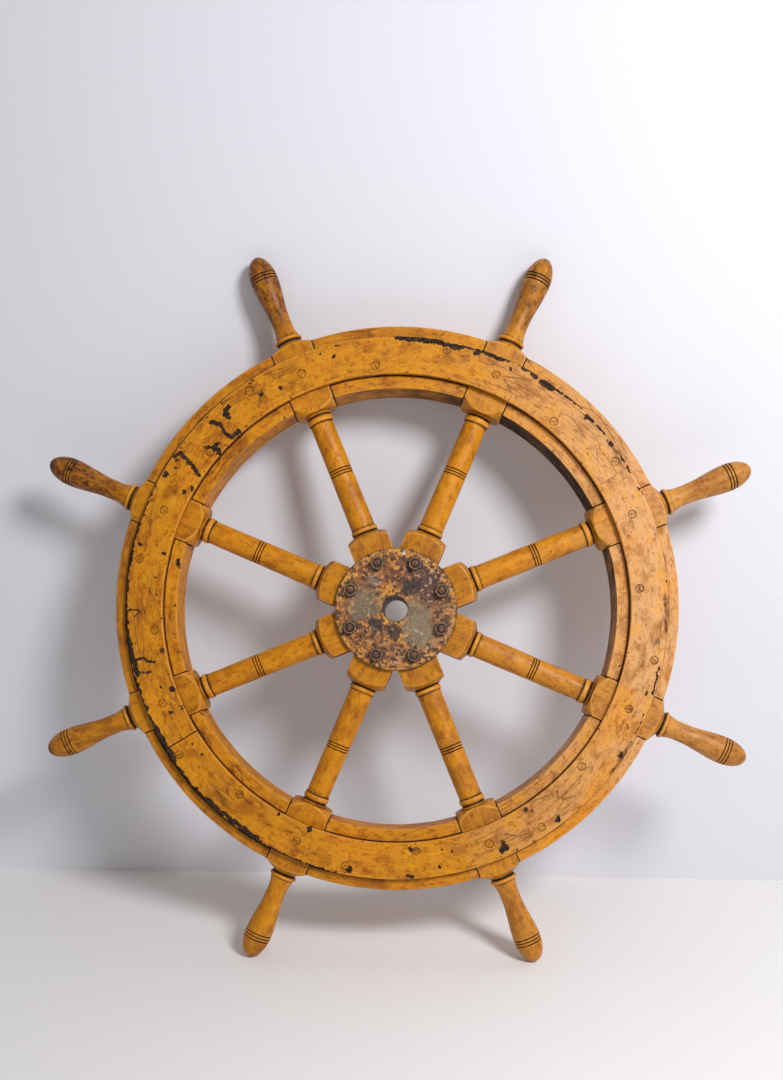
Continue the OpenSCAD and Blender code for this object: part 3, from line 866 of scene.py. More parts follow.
def stroke_field(co, strokes):
    """0.5 on the edge of a stroke, more inside it and less outside."""
    angle, radius = along_rim(co)
    flat = np.stack([np.radians(angle) * FACING_MID, radius], axis=1) * 1000
    for size, shift in STROKE_BENDS:
        flat += shift * np.array([noise.noise_vector(Vector(p) / size)[:2] for p in co])
    field = np.zeros(len(co))
    lap = 2 * math.pi * FACING_MID * 1000
    for half, *bends in strokes:
        stroke = [np.array((math.radians(a) * FACING_MID * 1000, r)) for a, r in bends]
        for start, end in zip(stroke, stroke[1:]):
            course = end - start
            offset = flat - start
            offset[:, 0] = (offset[:, 0] + lap / 2) % lap - lap / 2
            t = np.clip(offset @ course / max(course @ course, 1e-9), 0, 1)
            distance = np.linalg.norm(offset - t[:, None] * course, axis=1)
            field = np.maximum(field, 0.5 + (half * STROKE_WIDEN - distance) / STROKE_FADE)
    return np.clip(field, 0, 1)


def ragged(co, size, amount):
    """Noise that frays the edge of a loss."""
    return np.array([noise.noise(Vector(p) / size) for p in co]) * amount


# %% [markdown]
# ## The middle felloes
# Eight curved blocks of elm fill the rim between the spokes. Each was sawn from thick
# plank to the arc of the rim. Its section is spun round the hub through a little
# less than an eighth of a turn, and the two ends are then sawn parallel to the
# neighbouring spokes. The strips beside the facing ring, and the inner and outer
# walls, are what shows, so the section has most points there. Grime lies at the joints.
# The dark line at the foot of the ring is grime and painted shadow, heaviest on the
# left, the outer strip on the left is darkened as painted shade, and the inner wall at
# the upper right, turned away from the lamp, is darkened with painted shade.

# %% Spin a section round the hub
FELLOE_STEP, FELLOE_TURN_STEP, FELLOE_HIDDEN_STEP = mm(2.2), mm(2.6), mm(30)


def stepped(start, end, step):
    """Even points from start up to, but not including, end."""
    start, end = Vector(start), Vector(end)
    count = max(1, round((end - start).length / step))
    return [start.lerp(end, k / count) for k in range(count)]


def walk_round(corners, step, coarse):
    """Even points round an outline of (radius, y) corners. coarse gives the numbers of
    the sides that stay hidden, with their own step."""
    points = []
    for k, start in enumerate(corners):
        end = corners[(k + 1) % len(corners)]
        points += stepped((*start, 0), (*end, 0), coarse.get(k, step))
    return points


def felloe_section():
    """The rim's section as (radius, y), walked round from the front of the inner wall."""
    inner, outer, face, c = RIM_INNER, RIM_OUTER, FELLOE_FACE, mm(1.2)
    corners = [(inner, -face + c), (inner + c, -face), (FACING_INNER, -face), (FACING_OUTER, -face),
               (outer - c, -face), (outer, -face + c), (outer, face - c), (outer - c, face),
               (FACING_OUTER, face), (FACING_INNER, face), (inner + c, face), (inner, face - c)]
    return walk_round(corners, FELLOE_STEP, {2: FELLOE_HIDDEN_STEP, 8: FELLOE_HIDDEN_STEP})


def spin_arc(bm, section, from_deg, to_deg, step):
    """Spins a section of (radius, y) points round the wheel's axis."""
    edges = chain(bm, [(p.x, p.y, 0) for p in section], closed=True)
    steps = math.ceil(math.radians(to_deg - from_deg) * RIM_OUTER / step)
    spin(bm, edges, (0, -1, 0), math.radians(to_deg - from_deg), steps=steps)
    bm.transform(wheel_turn(from_deg))


# %% Say where a felloe is dirty and worn
RIM_PLANK = 5.3  # Metres of grain from one plank to the next
FELLOE_START = math.degrees(math.asin(SIDE / RIM_OUTER))
# Sides of the rim, each with the angle of its middle and its reach in degrees
GRIMY_SHADED_SIDE, RUBBED_LIT_SIDE, THICK_LEFT, THICK_TOP = (190, 70), (200, 32), (215, 35), (138, 30)
# Painted shade on the inner wall at the upper right: the angle of its middle and its reach in degrees
SHADED_WALL_AT, SHADED_WALL_REACH = 40, 66


def rim_grain(piece, seed, from_deg):
    """Grain that runs round the rim, counted from the angle where the piece begins."""
    co = points_of(piece)
    angle, radius = along_rim(co)
    turn = np.radians(angle - from_deg + 180) % (2 * math.pi)
    grain = np.stack([turn * FACING_MID, radius, co[:, 1]], axis=1)
    mark(piece, "grain", grain + RIM_PLANK * seed)
    return co, angle, radius


def weather_felloe(piece, index):
    co, angle, radius = rim_grain(piece, index, spoke_angle(index) + FELLOE_START)
    joint = np.zeros(len(co))
    for spoke in (index, index + 1):
        a = math.radians(spoke_angle(spoke))
        from_spoke = np.abs(-co[:, 0] * math.sin(a) + co[:, 2] * math.cos(a))
        joint = np.maximum(joint, 1.2 * near(from_spoke, SIDE, mm(1.5)))
    front = co[:, 1] < -FELLOE_FACE + mm(1.5)
    # The dark line at the foot of the ring is grime and painted shadow, thickest on the left and at the
    # top left, where the ring's edge shades the strip
    grimy_shaded = near(angle, *GRIMY_SHADED_SIDE)
    thick = mm(2.5) + mm(1.7) * near(angle, *THICK_LEFT) + mm(1.7) * near(angle, *THICK_TOP)
    foot = np.maximum(near(radius, FACING_INNER, mm(1.8)),
                      (0.90 + 0.50 * grimy_shaded) * near(radius, FACING_OUTER, thick)) * front
    knots = np.clip(stroke_field(co, KNOTS) - 0.15, 0, 1) * 1.2 * front
    inner_wall = (radius < RIM_INNER + mm(0.8)) & (co[:, 1] > -FELLOE_FACE + mm(1))
    # Painted shade: the inner wall at the upper right, which faces away from the lamp, is darkened
    inner_wall_shade = 0.66 * near((angle - SHADED_WALL_AT + 180) % 360, 180, SHADED_WALL_REACH) * inner_wall
    mark(piece, "dirt_and_shade", np.max([joint, foot, knots, inner_wall_shade], axis=0))
    # Painted shade: the outer strip on the left, shaded by the ring, is stained darker brown
    mark(piece, "stain_and_shade", 0.42 * near(radius, RIM_OUTER, mm(16)) * grimy_shaded * front)
    # The inner arris is rubbed bright, brightest on the left where that wall faces the lamp: wear and a
    # painted highlight
    rubbed = 0.45 + 0.55 * near(angle, *RUBBED_LIT_SIDE)
    arris = np.maximum(rubbed * near(radius, RIM_INNER, mm(2.5)), near(radius, RIM_OUTER, mm(2.0)) * 0.7)
    arris *= np.abs(np.abs(co[:, 1]) - FELLOE_FACE) < mm(3)
    mark(piece, "worn", np.maximum(arris, np.clip(stroke_field(co, NICKS), 0, 1) * front))
    bare = stroke_field(co, LOSSES) * front * ((radius < FACING_INNER) | (radius > FACING_OUTER))
    mark(piece, "bare", bare)


# %% Make the middle felloes
FELLOE_ARRIS, FELLOE_DENTS, FELLOE_SEED = mm(0.7), (mm(0.45), mm(35)), 20
FELLOE_SPARE = 2  # Degrees from a spoke's axis, inside its stock, to where the arc starts


def make_middle_felloe(index):
    bm = bmesh.new()
    start, end = spoke_angle(index) + FELLOE_SPARE, spoke_angle(index + 1) - FELLOE_SPARE
    spin_arc(bm, felloe_section(), start, end, FELLOE_TURN_STEP)
    for spoke, side in ((index, -1), (index + 1, 1)):
        a = math.radians(spoke_angle(spoke))
        outwards = Vector((-math.sin(a), 0, math.cos(a))) * side
        cut(bm, outwards * -SIDE, outwards)
    tidy(bm)
    ends = [f for f in bm.faces if len(f.verts) > 20]
    soften(bm, list(dict.fromkeys(e for f in ends for e in f.edges)), FELLOE_ARRIS, segments=1)
    roughen(bm, *FELLOE_DENTS, FELLOE_SEED + index)
    piece = as_object(bm, f"rim_felloe_{index}")
    weather_felloe(piece, index)
    dress(piece, rim_paint, "rim_wood", f"middle_felloe_{index}")


for number in range(1, SPOKES + 1):
    make_middle_felloe(number)

# %% [markdown]
# ## The facing ring and the ring behind
# Four quarters of thinner elm are screwed over the joints on the front, and four more
# on the back. The section is spun over a quarter turn, with points every millimetre
# and a half on the front, fine enough for the flakes. The screw pockets are bored
# with a cutter at the places of the screws. The back ring is plainer and coarser.

# %% Place the rim screws
SCREW_HEAD_R, POCKET_CLEARANCE, POCKET_DEPTH = mm(6.3), mm(0.15), mm(2.0)
SCREW_LEAD, SCREW_TRAIL, SCREW_STAGGER = 12, 17, mm(15)


def screw_places():
    """Angle and radius of every rim screw on one side."""
    places = []
    for i in range(1, SPOKES + 1):
        a = spoke_angle(i)
        places += [(a, FACING_MID), (a + SCREW_LEAD, FACING_MID + SCREW_STAGGER),
                   (a - SCREW_TRAIL, FACING_MID - SCREW_STAGGER)]
    return places


def at_rim(angle_deg, radius, y):
    """Stands a shape drawn along +Z at a place on the rim, pointing to the front."""
    place = Matrix.Translation((radius, y, 0)) @ Matrix.Rotation(math.pi / 2, 4, "X")
    return wheel_turn(angle_deg) @ place


print(len(screw_places()), "screws on each side")

# %% Shape a quarter and bore its pockets
RING_HIDDEN_STEP, RING_ARRIS, RING_DENTS, RING_SEED = mm(58), mm(0.2), (mm(0.3), mm(30)), 40


def facing_section(side, step):
    """side is -1 for the front ring and 1 for the ring behind."""
    low, high, c = FELLOE_FACE * side, FACING_FACE * side, mm(1.3)
    inner, outer = FACING_INNER, FACING_OUTER
    corners = [(inner, low), (inner, high - c * side), (inner + c * 0.3, high - c * 0.3 * side),
               (inner + c, high), (outer - c, high), (outer - c * 0.3, high - c * 0.3 * side),
               (outer, high - c * side), (outer, low)]
    return walk_round(corners, step, {7: RING_HIDDEN_STEP})


def carve(piece, cutter, name):
    """Takes a cutter's shape out of a piece."""
    tool = as_object(cutter, name)
    modifier = piece.modifiers.new(name, "BOOLEAN")
    modifier.object = tool
    modifier.operation = "DIFFERENCE"
    modifier.solver = "EXACT"
    graph = bpy.context.evaluated_depsgraph_get()
    carved = bpy.data.meshes.new_from_object(piece.evaluated_get(graph))
    piece.modifiers.clear()
    piece.data = carved
    bpy.data.objects.remove(tool)


def bore_pockets(piece, side, from_deg, to_deg):
    """Cuts a round pocket for every screw head in the quarter."""
    cutter = bmesh.new()
    radius = SCREW_HEAD_R + POCKET_CLEARANCE
    for a, r in screw_places():
        if from_deg < a % 360 < to_deg or from_deg < a % 360 + 360 < to_deg:
            place = at_rim(a, r, side * (FACING_FACE - POCKET_DEPTH / 2 + mm(1)))
            bmesh.ops.create_cone(cutter, cap_ends=True, segments=32, radius1=radius, radius2=radius,
                                  depth=POCKET_DEPTH + mm(2), matrix=place)
    carve(piece, cutter, "pockets")


def quarter_start(quarter):
    return FACING_JOINT + (quarter - 1) * 90


def make_facing(quarter, side, step):
    start = quarter_start(quarter)
    bm = bmesh.new()
    spin_arc(bm, facing_section(side, step), start, start + 90, step)
    close_holes(bm)
    tidy(bm)
    ends = [f for f in bm.faces if len(f.verts) > 8]
    soften(bm, list(dict.fromkeys(e for f in ends for e in f.edges)), RING_ARRIS, segments=1)
    roughen(bm, *RING_DENTS, RING_SEED + quarter * side)
    piece = as_object(bm, f"{'facing' if side < 0 else 'after'}_ring_quarter_{quarter}")
    bore_pockets(piece, side, start, start + 90)
    return piece


# %% Make the facing quarters
COAT_THICKNESS = mm(0.45)


def weather_facing(piece, quarter, side):
    co, angle, radius = rim_grain(piece, 10 * side + quarter, quarter_start(quarter))
    joint = near(((angle - FACING_JOINT + 45) % 90 - 45) * math.radians(1) * FACING_MID, 0, mm(1.0))
    joint *= np.where(np.abs(angle - OPEN_JOINT) < 5, 1.0, 0.12)
    foot = 0.8 * near(np.abs(co[:, 1]), FELLOE_FACE, mm(3))
    pockets = np.zeros(len(co))
    for a, r in screw_places():
        x, z = r * math.cos(math.radians(a)), r * math.sin(math.radians(a))
        distance = np.hypot(co[:, 0] - x, co[:, 2] - z)
        pockets = np.maximum(pockets, 0.5 * near(distance, SCREW_HEAD_R, mm(0.8)))
    mark(piece, "dirt_and_shade", np.maximum(np.maximum(joint, foot), pockets))
    arris = np.maximum(near(radius, FACING_INNER, mm(1.6)), near(radius, FACING_OUTER, mm(1.6)))
    arris *= np.abs(co[:, 1]) > FACING_FACE - mm(2.5)
    bare, stain_and_shade = np.zeros(len(co)), np.zeros(len(co))
    if side < 0:
        bare = stroke_field(co, LOSSES)
        shown = bare > 0.05
        bare[shown] += ragged(co[shown], mm(5), 0.30) + ragged(co[shown], mm(2.2), 0.26)
        pressed = np.clip((bare - 0.45) / 0.15, 0, 1) * (co[:, 1] < -FACING_FACE + mm(1.6))
        co[:, 1] += pressed * COAT_THICKNESS
        piece.data.vertices.foreach_set("co", co.ravel())
        piece.data.update()
        stain_and_shade = np.clip(stroke_field(co, STAINS), 0, 1)
        arris = np.maximum(arris, stroke_field(co, NICKS))
    mark(piece, "worn", arris)
    mark(piece, "stain_and_shade", stain_and_shade)
    mark(piece, "bare", np.clip(bare, 0, 1))


RINGS = ((-1, mm(1.5), facing_paint, "facing"), (1, mm(4), after_paint, "after"))
for quarter in (1, 2, 3, 4):
    for side, step, paint, ring in RINGS:
        made = make_facing(quarter, side, step)
        weather_facing(made, quarter, side)
        dress(made, paint, f"{ring}_wood", f"{ring}_felloe_{quarter}")

# %% [markdown]
# ## Rim screws
# The rings are held by countersunk steel screws. They were painted over with the wood,
# several coats thick, so a head shows as a shallow round dimple in the same ochre, with
# hardly a trace of its slot. They are turned shapes too: an outline with a low head, a
# cone and a shank is spun, and the driver slot is milled with a thin cutter. Two dozen
# sit on each side.

# %% Turn a shape and repeat it
def turned(section, steps, closed=False):
    """Spins a section of (radius, z) points round Z."""
    bm = bmesh.new()
    spin(bm, chain(bm, [(x, 0, z) for x, z in section], closed), (0, 0, 1), steps=steps)
    tidy(bm)
    return bm


def stamp(every, mesh, place):
    """Adds a copy of a mesh at a place."""
    first = len(every.verts)
    every.from_mesh(mesh)
    every.verts.ensure_lookup_table()
    bmesh.ops.transform(every, matrix=place, verts=every.verts[first:])


# %% Make the rim screws
SCREW_SINK, SLOT_W, SLOT_DEPTH, SLOT_TURN, SCREW_STEPS = mm(1.2), mm(1.3), mm(0.7), 2.4, 32
screw_paint = oil_paint("ochre_oil_paint_over_steel_screws", dullness=0.45)


def weather_screws(piece, side):
    co = points_of(piece)
    mark(piece, "grain", co + 9.1 * side)
    centres = [(r * math.cos(math.radians(a)), r * math.sin(math.radians(a))) for a, r in screw_places()]
    from_axis = np.min([np.hypot(co[:, 0] - x, co[:, 2] - z) for x, z in centres], axis=0)
    below = np.abs(co[:, 1]) < FACING_FACE - SCREW_SINK - mm(0.3)
    in_slot = below & (from_axis < SCREW_HEAD_R - mm(0.4))
    mark(piece, "dirt_and_shade", 0.5 * near(from_axis, SCREW_HEAD_R, mm(0.7)) + 0.35 * in_slot)
    mark(piece, "stain_and_shade", np.full(len(co), 0.18))


def screw_set(side):
    head, shank = SCREW_HEAD_R, mm(3)
    section = [(0, 0), (head * 0.4, 0), (head * 0.7, 0), (head - mm(0.6), mm(-0.05)),
               (head - mm(0.15), mm(-0.15)), (head, mm(-0.4)), (shank, mm(-3.3)),
               (shank, mm(-26)), (0, mm(-38))]
    screw = as_object(turned(section, SCREW_STEPS), "screw")
    slot = bmesh.new()
    bmesh.ops.create_cube(slot, size=1, matrix=Matrix.Diagonal((mm(30), SLOT_W, 2 * SLOT_DEPTH, 1)))
    carve(screw, slot, "slot")
    one = screw.data
    bpy.data.objects.remove(screw)
    every = bmesh.new()
    flip = Matrix.Rotation(math.pi if side > 0 else 0, 4, "X")
    for k, (a, r) in enumerate(screw_places()):
        place = at_rim(a, r, side * (FACING_FACE - SCREW_SINK))
        stamp(every, one, place @ flip @ Matrix.Rotation(k * SLOT_TURN, 4, "Z"))
    face = "front" if side < 0 else "rear"
    piece = as_object(every, f"{face}_screw_heads")
    weather_screws(piece, side)
    dress(piece, screw_paint, "screw_iron", f"{face}_rim_screws")


screw_set(-1)
screw_set(1)

# %% [markdown]
# ## Hub plates of rusted iron
# Two round plates clamp the spoke ends. They were painted ochre with the rest, and
# the paint has lifted in scabs over rust. To the eye that gives rust in browns and
# purple browns, yellow scraps of paint round the bore and along the edge, and two areas
# rubbed back to a grey-olive film. The plate is spun from its section with a fine
# face, and a noise raises scabs and sinks pits into it.

# %% Say what the plates' rust is made of
# A pattern has a size, a detail and a roughness
PLATE_PATTERNS = {
    "film": (mm(30), 4.0, 0.60),
    "scab": (mm(11), 5.0, 0.66),
    "scrap": (mm(7.5), 5.0, 0.66),
    "pit": (mm(3.4), 3.0, 0.60),
}
# A place lies so far to the right and up from the bore, and its effect reaches so far
PLATE_PLACES = {
    "left": (-0.052, 0.008, 0.050),
    "right": (0.030, -0.004, 0.040),
    "low right": (0.040, -0.034, 0.044),
    "purple": (0.050, 0.046, 0.060),
    "hole": (0.018, 0.038, 0.024),
    "soot": (-0.032, -0.024, 0.020),
    "oil": (-0.003, -0.035, 0.020),
    "gold": (-0.018, 0.027, 0.024),
    "amber": (0.014, -0.041, 0.022),
    "honey": (-0.030, -0.010, 0.017),
    "tan low": (0.034, -0.088, 0.085),
    "tan side": (0.088, -0.020, 0.055),
    "top": (0.012, 0.088, 0.006),
    "pale": (-0.036, 0.046, 0.018),
}
FLAKE, PLATE_EDGE_SHADE, PLATE_RELIEF = mm(5), mm(3), mm(1.2)
RUST = "#9a6330"
# Each coat has a pattern, the values where it starts and is full, a strength, a colour
PLATE_COATS = [
    ("flake", 0.50, 0.56, 0.75, "#6e3f1e"),
    ("flake", 0.20, 0.16, 0.90, "#d08936"),
    ("tan low", 0.26, 0.52, 0.75, "#bf8650"),
    ("tan side", 0.26, 0.52, 0.70, "#b98352"),
    ("scab", 0.52, 0.62, 0.70, "#6e3a1c"),
    ("film", 0.54, 0.64, 0.50, "#5d4131"),
    ("gold", 0.30, 0.50, 0.85, "#cf8a26"),
    ("amber", 0.30, 0.50, 0.85, "#d6902a"),
    ("honey", 0.30, 0.50, 0.80, "#c6852c"),
    ("flake", 0.60, 0.66, 0.65, "#7a4420"),
    ("flake", 0.84, 0.88, 0.80, "#3b261d"),
    ("purple", 0.24, 0.50, 0.80, "#4a302d"),
    ("yellow", 0.60, 0.63, 0.90, "#b9762a"),
    ("ochre", 0.60, 0.66, 0.70, "#e0a33e"),
    ("chip", 0.22, 0.18, 0.80, "#2a1c15"),
    ("left", 0.34, 0.62, 0.75, "#786c53"),
    ("right", 0.34, 0.62, 0.75, "#7a6e58"),
    ("low right", 0.34, 0.58, 0.80, "#85785f"),
    ("pale", 0.36, 0.60, 0.45, "#8d8274"),
    ("hole", 0.34, 0.60, 0.90, "#221a17"),
    ("soot", 0.34, 0.60, 0.90, "#1f1d1b"),
    ("oil", 0.34, 0.60, 0.90, "#1f1914"),
    ("chip", 0.955, 0.965, 0.62, "#b9a184"),
    ("pit", 0.58, 0.68, 0.70, "#1c120d"),
    ("top", 0.45, 0.55, 1.00, "#cbc2b0"),
    # Grease with painted shadow round the nuts, and painted shade on the bore's lip
    ("grease_and_shadow", 0.38, 0.62, 0.92, "#17100b"),
    # Painted shade: a dark ring at the plate's edge, where it stands over the blocks
    ("outline", 0.00, 1.00, 0.80, "#2c1b0c"),
]


print(len(PLATE_COATS), "coats in", len(PLATE_PATTERNS), "patterns and", len(PLATE_PLACES), "places")

# %% Make rusted iron with scraps of paint
def rusted_plate():
    material, tree = new_material("forged_iron_plate_rusted_under_paint")
    place = add(tree, "TexCoord").outputs["Object"]
    field = {}
    for key, (size, detail, rough) in PLATE_PATTERNS.items():
        moved = add(tree, "Mapping", {"Vector": place, "Location": (size * 90, 0, size * 50)})
        field[key] = add(tree, "TexNoise", {"Vector": moved, "Scale": 1 / size, "Detail": detail,
                                            "Roughness": rough})
    uneven = -0.55
    for key, share in (("scab", 0.6), ("scrap", 0.9)):
        uneven = add(tree, "Math", {ONE: field[key], TWO: share, PLUS: uneven}, operation="MULTIPLY_ADD")
    uneven = add(tree, "Math", {ONE: uneven, TWO: 1.6, PLUS: -0.32}, operation="MULTIPLY_ADD")
    for key, (x, z, reach) in PLATE_PLACES.items():
        offset = add(tree, "VectorMath", {0: place, 1: (x, -PLATE_FACE, z)}, operation="SUBTRACT")
        length = add(tree, "VectorMath", {0: offset}, operation="LENGTH")
        close = add(tree, "MapRange", {"Value": length, START: reach, FULL: 0.0})
        field[key] = add(tree, "Math", {ONE: close, TWO: uneven}, operation="ADD")
    from_axis = add(tree, "VectorMath", {0: place, 1: (1, 0, 1)}, operation="MULTIPLY")
    from_axis = add(tree, "VectorMath", {0: from_axis}, operation="LENGTH")
    field["bore"] = add(tree, "MapRange", {"Value": from_axis, START: PLATE_R, FULL: 0.0})
    # Painted shade round the plate's edge
    field["outline"] = add(tree, "MapRange", {"Value": from_axis, START: PLATE_R - PLATE_EDGE_SHADE,
                                              FULL: PLATE_R})
    grit = add(tree, "TexNoise", {"Vector": place, "Scale": 1 / FLAKE, "Detail": 2.0}).outputs["Color"]
    bent = add(tree, "VectorMath", {0: grit, 1: (FLAKE * 0.9,) * 3, 2: place}, operation="MULTIPLY_ADD")
    cells = add(tree, "TexVoronoi", {"Vector": bent, "Scale": 1 / FLAKE})
    shades = add(tree, "SeparateColor", {0: cells.outputs["Color"]})
    field["flake"], field["chip"] = shades.outputs["Red"], shades.outputs["Green"]
    dirt_and_shade = add(tree, "Attribute", attribute_name="dirt_and_shade").outputs["Fac"]
    field["grease_and_shadow"] = add(tree, "Math", {ONE: uneven, TWO: 0.5, PLUS: dirt_and_shade}, operation="MULTIPLY_ADD")
    by_rim = add(tree, "MapRange", {"Value": field["bore"], START: 0.24, FULL: 0.04, TO_FULL: 0.13})
    by_bore = add(tree, "MapRange", {"Value": field["bore"], START: 0.50, FULL: 0.75, TO_FULL: 0.16})
    kept = add(tree, "Math", {ONE: by_rim, TWO: by_bore}, operation="ADD")
    field["yellow"] = add(tree, "Math", {ONE: kept, TWO: field["scrap"]}, operation="ADD")
    field["ochre"] = add(tree, "Math", {ONE: field["yellow"], TWO: 0.97}, operation="MULTIPLY")

    tone = lay_coats(tree, field, colour(RUST), PLATE_COATS)
    height = 0.0
    for key, depth in (("scab", 1.1), ("flake", 0.25), ("scrap", 0.8), ("pit", -1.0)):
        height = add(tree, "Math", {ONE: field[key], TWO: depth, PLUS: height}, operation="MULTIPLY_ADD")
    bump = add(tree, "Bump", {"Height": height, "Distance": PLATE_RELIEF, "Strength": 1.0})
    dull = add(tree, "MapRange", {"Value": field["pit"], START: 0.3, FULL: 0.7,
                                  TO_START: 0.50, TO_FULL: 0.78})
    shader = add(tree, "BsdfPrincipled", {"Base Color": tone, "Roughness": dull, "Normal": bump})
    add(tree, "OutputMaterial", {"Surface": shader})
    return material


plate_iron = rusted_plate()
print(plate_iron.name, len(plate_iron.node_tree.nodes), "nodes")

# %% [markdown]
# ## The plates' section, scabs and grease
# The plate's face is spun with a point every millimetre and a half, and then pressed in
# by two sizes of noise, less than half a millimetre in all, so that scabs stand out
# against the light. Old grease darkens the plate round every nut and on the lip of the
# bore, and both rings carry painted shadow too: the shadows of the nuts, and the shade
# at the top left of the bore.

# %% Spin the two plates
PLATE_HIDDEN_STEP, PLATE_DENT, PLATE_CHAMFER, BORE_CHAMFER = mm(78), mm(0.45), mm(0.9), mm(0.4)
PLATE_STRETCH = 1.6  # A face at the edge is this much longer than it is wide
SCABS = (mm(7), 0.6), (mm(2.6), 0.4)  # Each with a size and a share
GREASY_SHADED_SIDE = 125, 60  # The angle of its middle and its reach in degrees


def plate_section(side, step):
    low, high, c, lip = FELLOE_FACE * side, PLATE_FACE * side, PLATE_CHAMFER, BORE_CHAMFER
    corners = [(BORE_R, low), (BORE_R, high - lip * side), (BORE_R + lip, high), (PLATE_R - c, high),
               (PLATE_R - c * 0.3, high - c * 0.3 * side), (PLATE_R, high - c * side), (PLATE_R, low)]
    return walk_round(corners, step, {6: PLATE_HIDDEN_STEP})


def from_bolt_axis(co):
    """Each point's angle, radius, and distance from the axis of the nearest bolt."""
    angle, radius = along_rim(co)
    from_spoke = np.radians((angle - FIRST_SPOKE + PITCH / 2) % PITCH - PITCH / 2)
    return angle, radius, np.hypot(radius - BOLT_CIRCLE, from_spoke * BOLT_CIRCLE)


def weather_plate(piece):
    """Grease round every nut, with the nuts' painted shadow, and on the lip of the bore, with painted
    shade that is widest at the top left.
    """
    angle, radius, from_bolt = from_bolt_axis(points_of(piece))
    lip = near(radius, BORE_R, mm(1.5) + mm(3.5) * near(angle, *GREASY_SHADED_SIDE))
    mark(piece, "dirt_and_shade", np.maximum(0.75 * near(from_bolt, mm(9), mm(3.6)), lip))


def make_plate(side, step):
    bm = bmesh.new()
    edges = chain(bm, [(p.x, p.y, 0) for p in plate_section(side, step)], closed=True)
    spin(bm, edges, (0, 1, 0), steps=math.ceil(2 * math.pi * PLATE_R / step / PLATE_STRETCH))
    tidy(bm)
    face = FELLOE_FACE + mm(1)
    for vert in bm.verts:
        if abs(vert.co.y) > face:
            scab = sum(noise.noise(vert.co / size) * share for size, share in SCABS)
            vert.co.y -= side * PLATE_DENT * (0.5 + 0.5 * scab)
    name = "front" if side < 0 else "rear"
    piece = as_object(bm, f"{name}_plate")
    weather_plate(piece)
    dress(piece, plate_iron, "hub_iron", f"{name}_hub_plate")


make_plate(-1, mm(1.5))
make_plate(1, mm(3))

# %% [markdown]
# ## Nuts, bolts and the bush
# A nut starts as a disc turned with a sloping rim, and six flats are then cut on it,
# which is why its corners are rounded where the flats meet the slope. The threads are
# filled with paint and rust, so the bolt's end shows as a domed stud in a dark ring.
# Iron this rusty is brown and dull, a little brighter where spanners rubbed its arrises.

# %% Make the bolts' rusted iron
BOLT_RELIEF = mm(0.6)
BOLT_PATTERNS = {"grit": (mm(3), 4.0), "cloud": (mm(12), 3.0), "speck": (mm(1.8), 2.0)}
BOLT_COATS = [("grit", 0.38, 0.62, 1.0, "#6f4a30"), ("cloud", 0.50, 0.62, 0.7, "#8a5a2b"),
              ("speck", 0.58, 0.66, 0.8, "#1f1612")]


def rusty_bolt_iron():
    material, tree = new_material("wrought_iron_bolts_rusted")
    place = add(tree, "TexCoord").outputs["Object"]
    worn = add(tree, "Attribute", attribute_name="worn").outputs["Fac"]
    dirt_and_shade = add(tree, "Attribute", attribute_name="dirt_and_shade").outputs["Fac"]
    field = {}
    for key, (size, detail) in BOLT_PATTERNS.items():
        field[key] = add(tree, "TexNoise", {"Vector": place, "Scale": 1 / size, "Detail": detail})
    tone = lay_coats(tree, field, colour("#3b2a1f"), BOLT_COATS)
    rub = add(tree, "MapRange", {"Value": field["grit"], START: 0.3, FULL: 0.65,
                                 TO_START: 0.05, TO_FULL: 0.5})
    rub = add(tree, "Math", {ONE: rub, TWO: worn}, operation="MULTIPLY")
    tone = add(tree, "Mix", {MIX: rub, A: tone, B: colour("#a08568")}, data_type="RGBA")
    tone = add(tree, "Mix", {MIX: dirt_and_shade, A: tone, B: colour("#120c08")}, data_type="RGBA")
    bump = add(tree, "Bump", {"Height": field["grit"], "Distance": BOLT_RELIEF, "Strength": 0.9})
    shader = add(tree, "BsdfPrincipled", {"Base Color": tone, "Roughness": 0.6, "Metallic": 0.15,
                                          "Normal": bump})
    add(tree, "OutputMaterial", {"Surface": shader})
    return material


bolt_iron = rusty_bolt_iron()
print(bolt_iron.name, len(bolt_iron.node_tree.nodes), "nodes")

# %% Turn nuts, bolts and heads
NUT_FLAT, NUT_H, NUT_BORE, BOLT_R, BOLT_END = mm(9.5), mm(10), mm(6.3), mm(6), mm(2.5)
HEAD_H, HEX_CHAMFER, HEX_ARRIS = mm(7.8), mm(1.2), mm(0.3)
HEX_CORNER = NUT_FLAT / math.cos(math.pi / 6)
HEX_STEPS, BOLT_STEPS = 48, 32


def hexagon(section, closed=False):
    """A turned blank with six flats and softened arrises."""
    bm = turned(section, HEX_STEPS, closed)
    for k in range(6):
        a = math.radians(60 * k + 30)
        flat = Vector((math.cos(a), math.sin(a), 0))
        cut(bm, flat * NUT_FLAT, flat)
    tidy(bm)
    soften(bm, sharp_edges(bm, 25), HEX_ARRIS)
    return bm


def nut():
    wide, flat_r, c = HEX_CORNER + mm(0.5), HEX_CORNER - HEX_CHAMFER * 1.3, mm(0.9)
    return hexagon([(NUT_BORE, 0), (wide, 0), (wide, NUT_H - HEX_CHAMFER), (flat_r, NUT_H),
                    (NUT_BORE + c, NUT_H), (NUT_BORE, NUT_H - c)], closed=True)


def bolt():
    top = 2 * PLATE_FACE + NUT_H + BOLT_END
    return turned([(0, 0), (BOLT_R, 0), (BOLT_R, top - mm(1.6)), (BOLT_R - mm(0.5), top - mm(0.7)),
                   (BOLT_R - mm(2), top - mm(0.15)), (0, top)], BOLT_STEPS)


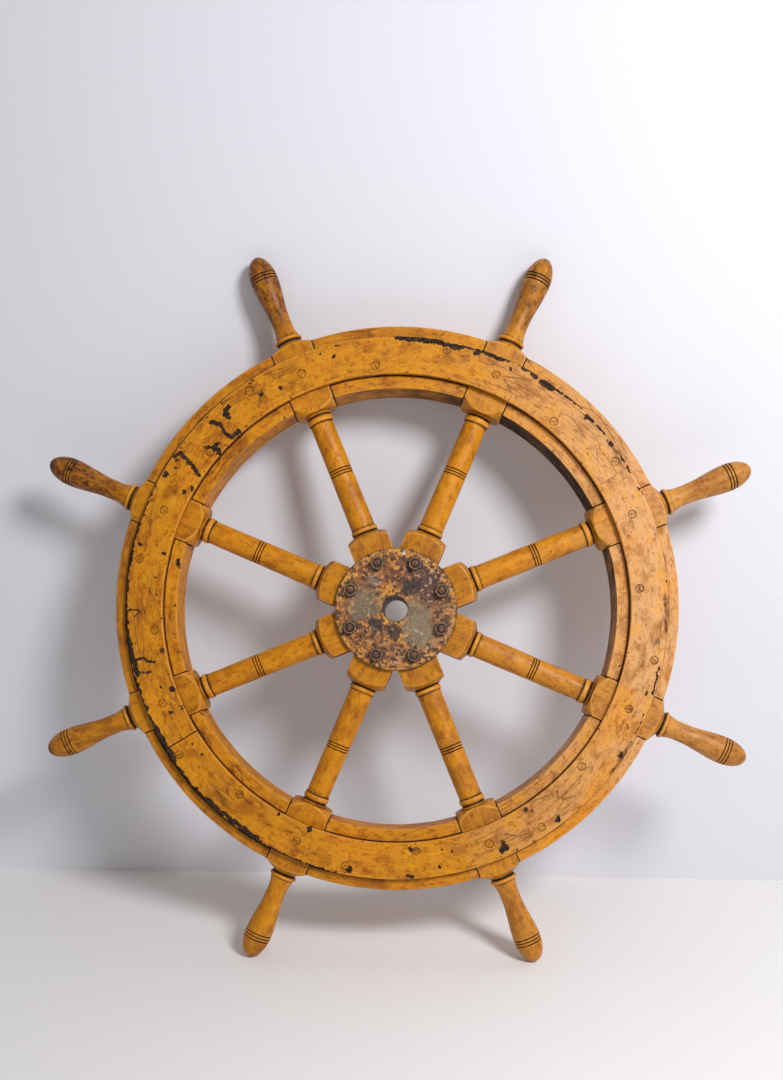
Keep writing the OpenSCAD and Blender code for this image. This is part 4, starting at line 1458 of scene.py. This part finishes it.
def bolt_head():
    wide, flat_r = HEX_CORNER + mm(0.5), HEX_CORNER - HEX_CHAMFER * 1.3
    return hexagon([(0, 0), (wide, 0), (wide, HEX_CHAMFER - HEAD_H), (flat_r, -HEAD_H), (0, -HEAD_H)])


# %% Set nuts and bolts round the hub
def eight_round_hub(name, makers, y, node):
    """Repeats shapes drawn along +Z at the eight bolt holes, pointing to the front."""
    every = bmesh.new()
    every.verts.layers.float.new("worn")
    for maker in makers:
        one = bpy.data.meshes.new("one")
        shape = maker()
        shape.to_mesh(one)
        shape.free()
        for i in range(1, SPOKES + 1):
            stamp(every, one, at_rim(spoke_angle(i), BOLT_CIRCLE, y) @ Matrix.Rotation(i * 0.7, 4, "Z"))
    piece = as_object(every, name, sharp=28)
    from_axis = from_bolt_axis(points_of(piece))[2]
    mark(piece, "dirt_and_shade", 0.9 * near(from_axis, NUT_BORE, mm(1.2)))
    dress(piece, bolt_iron, "bolt_iron", node)


eight_round_hub("bolt_nuts", [nut], -PLATE_FACE, "hub_nuts")
eight_round_hub("through_bolts", [bolt, bolt_head], PLATE_FACE, "hub_bolts")

# %% [markdown]
# ## Bare iron of the bush
# The bush lines the bore. No brush reached it, and the shaft kept it clean, so it is
# grey iron with a brown bloom. Its shape in the frame is right and stays as it is.
# It could have the bolts' rust, but a running shaft polishes what it turns in.

# %% Finish the bush
BUSH_GRIT, BUSH_RELIEF = mm(6), mm(0.3)


def bush_metal():
    material, tree = new_material("bored_iron_bush")
    place = add(tree, "TexCoord").outputs["Object"]
    grit = add(tree, "TexNoise", {"Vector": place, "Scale": 1 / BUSH_GRIT, "Detail": 5.0})
    bloom = add(tree, "MapRange", {"Value": grit, START: 0.42, FULL: 0.6})
    tone = add(tree, "Mix", {MIX: bloom, A: colour("#6f6a64"), B: colour("#6a4530")}, data_type="RGBA")
    bump = add(tree, "Bump", {"Height": grit, "Distance": BUSH_RELIEF, "Strength": 0.7})
    shader = add(tree, "BsdfPrincipled", {"Base Color": tone, "Roughness": 0.5, "Metallic": 0.4,
                                          "Normal": bump})
    add(tree, "OutputMaterial", {"Surface": shader})
    return material


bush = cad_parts["hub_bush"]
bush.data.materials.clear()
bush.data.materials.append(bush_metal())

# %% [markdown]
# ## The size
# The box of the construction is printed.

# %% Print the construction's box
print("construction", [[round(v, 4) for v in p] for p in cad_box])
